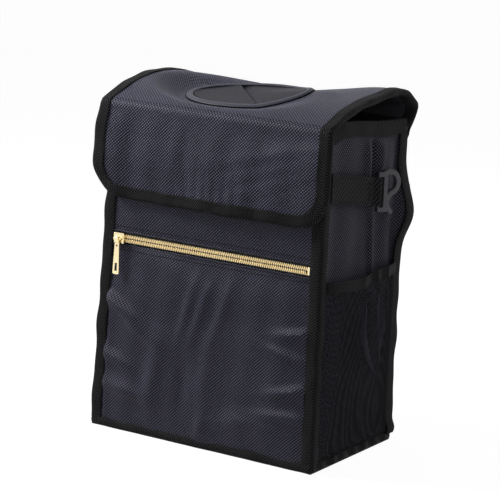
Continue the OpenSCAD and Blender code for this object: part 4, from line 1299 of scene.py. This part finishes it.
def make_lid(lid, insert):
    """The lid's cloth with its flap, its lining, edge tape, stitches, hinge and patches."""
    shape = LidShape(lid, insert)
    half = lid.thick / 2
    lid_cover(shape, half, half - lid.skin, "lid_cloth_cover", "lid_cloth",
              ["lid_top", "flap_panel"], shape.high)
    lid_cover(shape, -half + lid.lining, -half, "lid_lining_cloth", "lining_cloth",
              ["lid_lining", "flap_lining", "lid_board", "flap_board"], shape.high - 0.004)
    lid_edge(shape, lid)
    x = even(-lid.half_w + lid.tape_w, lid.half_w - lid.tape_w, 0.003)
    points, ahead = (shape.place(x, np.full_like(x, s), half) for s in (0.0035, 0.0045))
    row = stitch_row(points, np.cross((1.0, 0, 0), ahead - points), pitch=0.0032,
                     run=0.0022, thick=0.0006)
    flap_bend(make_piece("crease_stitches", [row], "mesh_thread", body=None))
    make_hinge(shape)
    make_closures()


def make_insert(lid, insert):
    """The rubber ring, the dark beads along its outer foot and its inner edge that paint the
    shade lines there, and its two leaves.
    """
    lean = -math.atan(insert.lean)
    turn = np.array(Matrix.Rotation(lean, 3, "Y")
                    @ Matrix.Rotation(math.atan(insert.slope * math.cos(lean)), 3, "X"))
    middle = np.array([insert.middle_x, insert.middle_y, LidShape(lid, insert).insert_z])

    def to_row(x, y, z):
        """From the insert's own plane to the row's frame, bent along the slit."""
        points = joined(x, y, z) @ turn.T + middle
        points[..., 2] += wing(insert, points[..., 0], points[..., 1])
        return points

    def oval(section):
        """A section, given as distances in from the oval and heights, carried round it."""
        angle = np.linspace(0, math.tau, 181)[:-1, None]
        inset, height = np.array(section).T
        return swept(to_row((insert.half_long - inset) * np.cos(angle),
                            (insert.half_short - inset) * np.sin(angle), height), closed=True)

    w, h, t = insert.ring_w, insert.ring_h, insert.leaf_t
    ring = [(-0.0012, 0.0), (-0.0010, h * 0.30), (0.0, h * 0.62), (w * 0.2, h * 0.93),
            (w * 0.45, h * 1.05), (w * 0.72, h * 0.98), (w * 0.9, h * 0.8), (w, t * 0.9),
            (w, t * 0.4), (w - 0.0006, -0.0012), (w * 0.6, -0.0042), (w * 0.35, -0.0042),
            (w * 0.3, -0.0008), (w * 0.15, -0.0002)]
    make_piece("rubber_ring", [oval(ring)], "ring_rubber", ["opening_ring"], "lid")
    # Dark cords round the ring's outer foot and in the gap at its inner edge: painted shade
    # lines.
    shade_beads = [oval(turn_points(place, radius, 0, 315, 8))
             for place, radius in (((-0.0007, 0.0004), 0.0007), ((w + 0.00025, t), 0.0004))]
    make_piece("ring_beads", shade_beads, "closure", (), "lid")
    for side, sign, edge in (("left", 1, 0.0004), ("right", -1, -0.0024)):
        x, y, top, bottom, across = leaf(insert, sign, edge)
        sheet = shell(to_row(x, y, top), to_row(x, y, bottom), joined(x, y))
        piece = make_piece(f"rubber_leaf_{side}", [sheet], "rubber", [f"leaf_{side}"], None)
        far, close = (tuple(to_row(*(across * (insert.root + past)), 0.0))
                      for past in (0.004, -0.003))
        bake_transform(piece)


def leaf(insert, sign, edge):
    """Half of the oval: rows run parallel to the slit, from it to the far edge, and each row
    spans the oval's chord there, between the roots of a quadratic. The edge at the slit is
    raised by edge."""
    a, b = (half - insert.ring_w - insert.gap for half in (insert.half_long, insert.half_short))
    turn = math.radians(insert.slit_turn)
    along = np.array([math.cos(turn), math.sin(turn)])
    across = np.array([-math.sin(turn), math.cos(turn)]) * sign
    reach, near = math.hypot(a * across[0], b * across[1]), insert.slit_w / 2
    away = near + (reach - near - 0.0004) * (1 - np.cos(np.linspace(0, math.pi / 2, 26)))
    away = np.clip(away, near, reach * 0.995)[:, None]
    axes = np.array([a, b]) ** 2
    qa = np.sum(along ** 2 / axes)
    qb = 2 * away * np.sum(along * across / axes)
    qc = away ** 2 * np.sum(across ** 2 / axes) - 1
    root = np.sqrt(np.clip(qb ** 2 - 4 * qa * qc, 0, None))
    run = (-qb - root + 2 * np.linspace(0, 1, 40) * root) / (2 * qa)
    x, y = (run * along[k] + away * across[k] for k in (0, 1))
    thin = bell(away / 0.0012)
    rim = 1 - np.hypot(x / a, y / b)
    top = (insert.leaf_t + edge * bell(away / 0.006) - 0.0003 * thin
           + 0.0005 * bell(rim / 0.03) - 0.0008 * np.sin(clip01(away / reach) * math.pi))
    return x, y, top, top - insert.leaf_t * (0.8 - 0.25 * thin), across


# Stage
def facing(rows, place):
    """The matrix of a thing at a place, from its right, upper and backward directions."""
    matrix = Matrix(np.stack(rows, axis=1).tolist()).to_4x4()
    matrix.translation = place
    return matrix


def make_stage(scene, looks):
    """The camera, looking back along its aim and rolled about it, the floor, a world that is
    white where the camera, gloss or glass sees it and plain grey otherwise, and three soft
    lamps: the key from the front left, a fill, and one from behind."""
    scene.view_settings.view_transform = "Standard"
    turn, height, roll = looks.aim
    back = np.array([math.sin(turn) * math.cos(height), -math.cos(turn) * math.cos(height),
                     math.sin(height)])
    level = np.array([math.cos(turn), math.sin(turn), 0.0])
    upright = np.cross(back, level)
    camera = placed("camera", bpy.data.cameras.new("camera"))
    camera.data.sensor_width = 36.0
    camera.data.lens = looks.focal
    camera.data.clip_end = 50.0
    camera.matrix_world = facing((math.cos(roll) * level + math.sin(roll) * upright,
                                  math.cos(roll) * upright - math.sin(roll) * level, back),
                                 looks.camera_at)
    scene.camera = camera

    paper = Finish("floor_paper", 0.9, 0.1)
    path = paper.node("LightPath").outputs
    glow = paper.node("Emission", Color=(1, 1, 1, 1), Strength=2.35)
    seen = paper.math("MAXIMUM", path["Is Camera Ray"], path["Is Glossy Ray"])
    both = paper.node("MixShader")
    surface = paper.tree.nodes["Principled BSDF"]
    for socket, value in zip(both.inputs, (paper.math("MULTIPLY", seen, 0.40),
                                           surface.outputs[0], glow.outputs[0])):
        paper.feed(socket, value)
    paper.feed(paper.tree.nodes["Material Output"].inputs[0], both.outputs[0])
    grain = paper.math("MULTIPLY_ADD", paper.noise(30), 0.01, 0.42)
    paper.feed(paper.inputs["Base Color"], paper.grey(grain))
    mesh = bpy.data.meshes.new("floor")
    size, below = 12.0, -0.0004
    mesh.from_pydata([(-size, -size, below), (size, -size, below), (size, size, below),
                      (-size, size, below)], [], [(0, 1, 2, 3)])
    mesh.materials.append(paper.material)
    placed("floor", mesh)

    world = bpy.data.worlds.new("studio")
    world.use_nodes = True
    sky = Nodes(world.node_tree)
    path = sky.node("LightPath").outputs
    seen = sky.math("MAXIMUM", path["Is Glossy Ray"], path["Is Transmission Ray"])
    seen = sky.math("MAXIMUM", path["Is Camera Ray"], seen)
    light = sky.node("MapRange", Value=seen, To_Min=0.08, To_Max=1.0).outputs[0]
    background = sky.tree.nodes["Background"].inputs
    background["Color"].default_value = (1, 1, 1, 1)
    sky.feed(background["Strength"], light)
    scene.world = world

    aimed_at = (0, 0, 0.17)
    for name, place, power, size in (("key", (-0.84, -0.40, 0.86), 11.0, 0.3),
                                     ("fill", (1.1, -1.1, 0.6), 1.7, 0.8),
                                     ("rear", (0.4, 1.2, 0.8), 3.0, 0.8)):
        lamp = placed(name, bpy.data.lights.new(name, "AREA"))
        lamp.data.energy = power
        lamp.data.size = size
        back = unit(np.array(place) - aimed_at)
        side = unit(np.cross((0, 0, 1), back))
        lamp.matrix_world = facing((side, np.cross(back, side), back), place)


class BIN_OT_finishes(bpy.types.Operator):
    """Makes the materials and gives each solid node one"""
    bl_idname = "bin.finishes"
    bl_label = "Finishes"

    def execute(self, context):
        make_finishes(context.scene.bin_looks)
        return {"FINISHED"}


class BIN_OT_stage(bpy.types.Operator):
    """Sets the floor, the light and the camera"""
    bl_idname = "bin.stage"
    bl_label = "Stage"

    def execute(self, context):
        make_stage(context.scene, context.scene.bin_looks)
        return {"FINISHED"}


class BIN_OT_front(bpy.types.Operator):
    """Makes the front pocket and the cloth above the zip"""
    bl_idname = "bin.front"
    bl_label = "Front"

    def execute(self, context):
        make_front(context.scene.bin_body)
        return {"FINISHED"}


class BIN_OT_walls(bpy.types.Operator):
    """Makes the sides, the back and the underside"""
    bl_idname = "bin.walls"
    bl_label = "Sides, back and underside"

    def execute(self, context):
        make_walls(context.scene.bin_body)
        return {"FINISHED"}


class BIN_OT_tapes(bpy.types.Operator):
    """Makes the binding tapes on the rim, the base and the corners"""
    bl_idname = "bin.tapes"
    bl_label = "Binding tapes"

    def execute(self, context):
        make_tapes(context.scene.bin_body)
        return {"FINISHED"}


class BIN_OT_liner(bpy.types.Operator):
    """Makes the liner inside"""
    bl_idname = "bin.liner"
    bl_label = "Liner"

    def execute(self, context):
        make_liner(context.scene.bin_body)
        return {"FINISHED"}


class BIN_OT_zip(bpy.types.Operator):
    """Makes the zip's tapes, teeth, stops, slider and pull"""
    bl_idname = "bin.zip"
    bl_label = "Zip"

    def execute(self, context):
        make_zip(context.scene.bin_zip)
        return {"FINISHED"}


class BIN_OT_side_pockets(bpy.types.Operator):
    """Makes the mesh pockets and their elastic bands"""
    bl_idname = "bin.side_pockets"
    bl_label = "Mesh pockets"

    def execute(self, context):
        make_pockets()
        return {"FINISHED"}


class BIN_OT_straps(bpy.types.Operator):
    """Makes the side straps with their hooks and the belt loops on the back"""
    bl_idname = "bin.straps"
    bl_label = "Straps and hooks"

    def execute(self, context):
        make_straps(context.scene.bin_body)
        return {"FINISHED"}


class BIN_OT_lid(bpy.types.Operator):
    """Makes the lid's cloth with its flap, its lining and its edge tape"""
    bl_idname = "bin.lid"
    bl_label = "Lid and flap"

    def execute(self, context):
        make_lid(context.scene.bin_lid, context.scene.bin_insert)
        return {"FINISHED"}


class BIN_OT_insert(bpy.types.Operator):
    """Makes the rubber ring and its two leaves"""
    bl_idname = "bin.insert"
    bl_label = "Rubber insert"

    def execute(self, context):
        make_insert(context.scene.bin_lid, context.scene.bin_insert)
        return {"FINISHED"}


class BIN_PT_panel(bpy.types.Panel):
    """Lists the steps and sizes of the bin"""
    bl_idname = "BIN_PT_panel"
    bl_label = "Car trash bin"
    bl_space_type = "VIEW_3D"
    bl_region_type = "UI"
    bl_category = "Bin"

    def draw(self, context):
        layout = self.layout
        for step in STEPS:
            layout.operator(step.bl_idname)
        for group in GROUPS:
            values = getattr(context.scene, group)
            for key in values.bl_rna.properties.keys():
                if key not in ("rna_type", "name"):
                    layout.prop(values, key)


GROUPS = {"bin_body": BodySizes, "bin_lid": LidSizes, "bin_insert": InsertSizes,
          "bin_zip": ZipSizes, "bin_looks": Looks}
STEPS = (BIN_OT_finishes, BIN_OT_stage, BIN_OT_front, BIN_OT_walls, BIN_OT_tapes,
         BIN_OT_liner, BIN_OT_zip, BIN_OT_side_pockets, BIN_OT_straps, BIN_OT_lid,
         BIN_OT_insert)


def register():
    for group in GROUPS.values():
        bpy.utils.register_class(group)
    for key, group in GROUPS.items():
        setattr(bpy.types.Scene, key, PointerProperty(type=group))
    for step in (*STEPS, BIN_PT_panel):
        bpy.utils.register_class(step)


def unregister():
    for step in (BIN_PT_panel, *reversed(STEPS)):
        bpy.utils.unregister_class(step)
    for key, group in GROUPS.items():
        delattr(bpy.types.Scene, key)
        bpy.utils.unregister_class(group)


def main():
    register()
    bpy.ops.bin.finishes()
    bpy.ops.bin.stage()
    bpy.ops.bin.front()
    bpy.ops.bin.walls()
    bpy.ops.bin.tapes()
    bpy.ops.bin.liner()
    bpy.ops.bin.zip()
    bpy.ops.bin.side_pockets()
    bpy.ops.bin.straps()
    bpy.ops.bin.lid()
    bpy.ops.bin.insert()


if __name__ == "__main__":
    main()
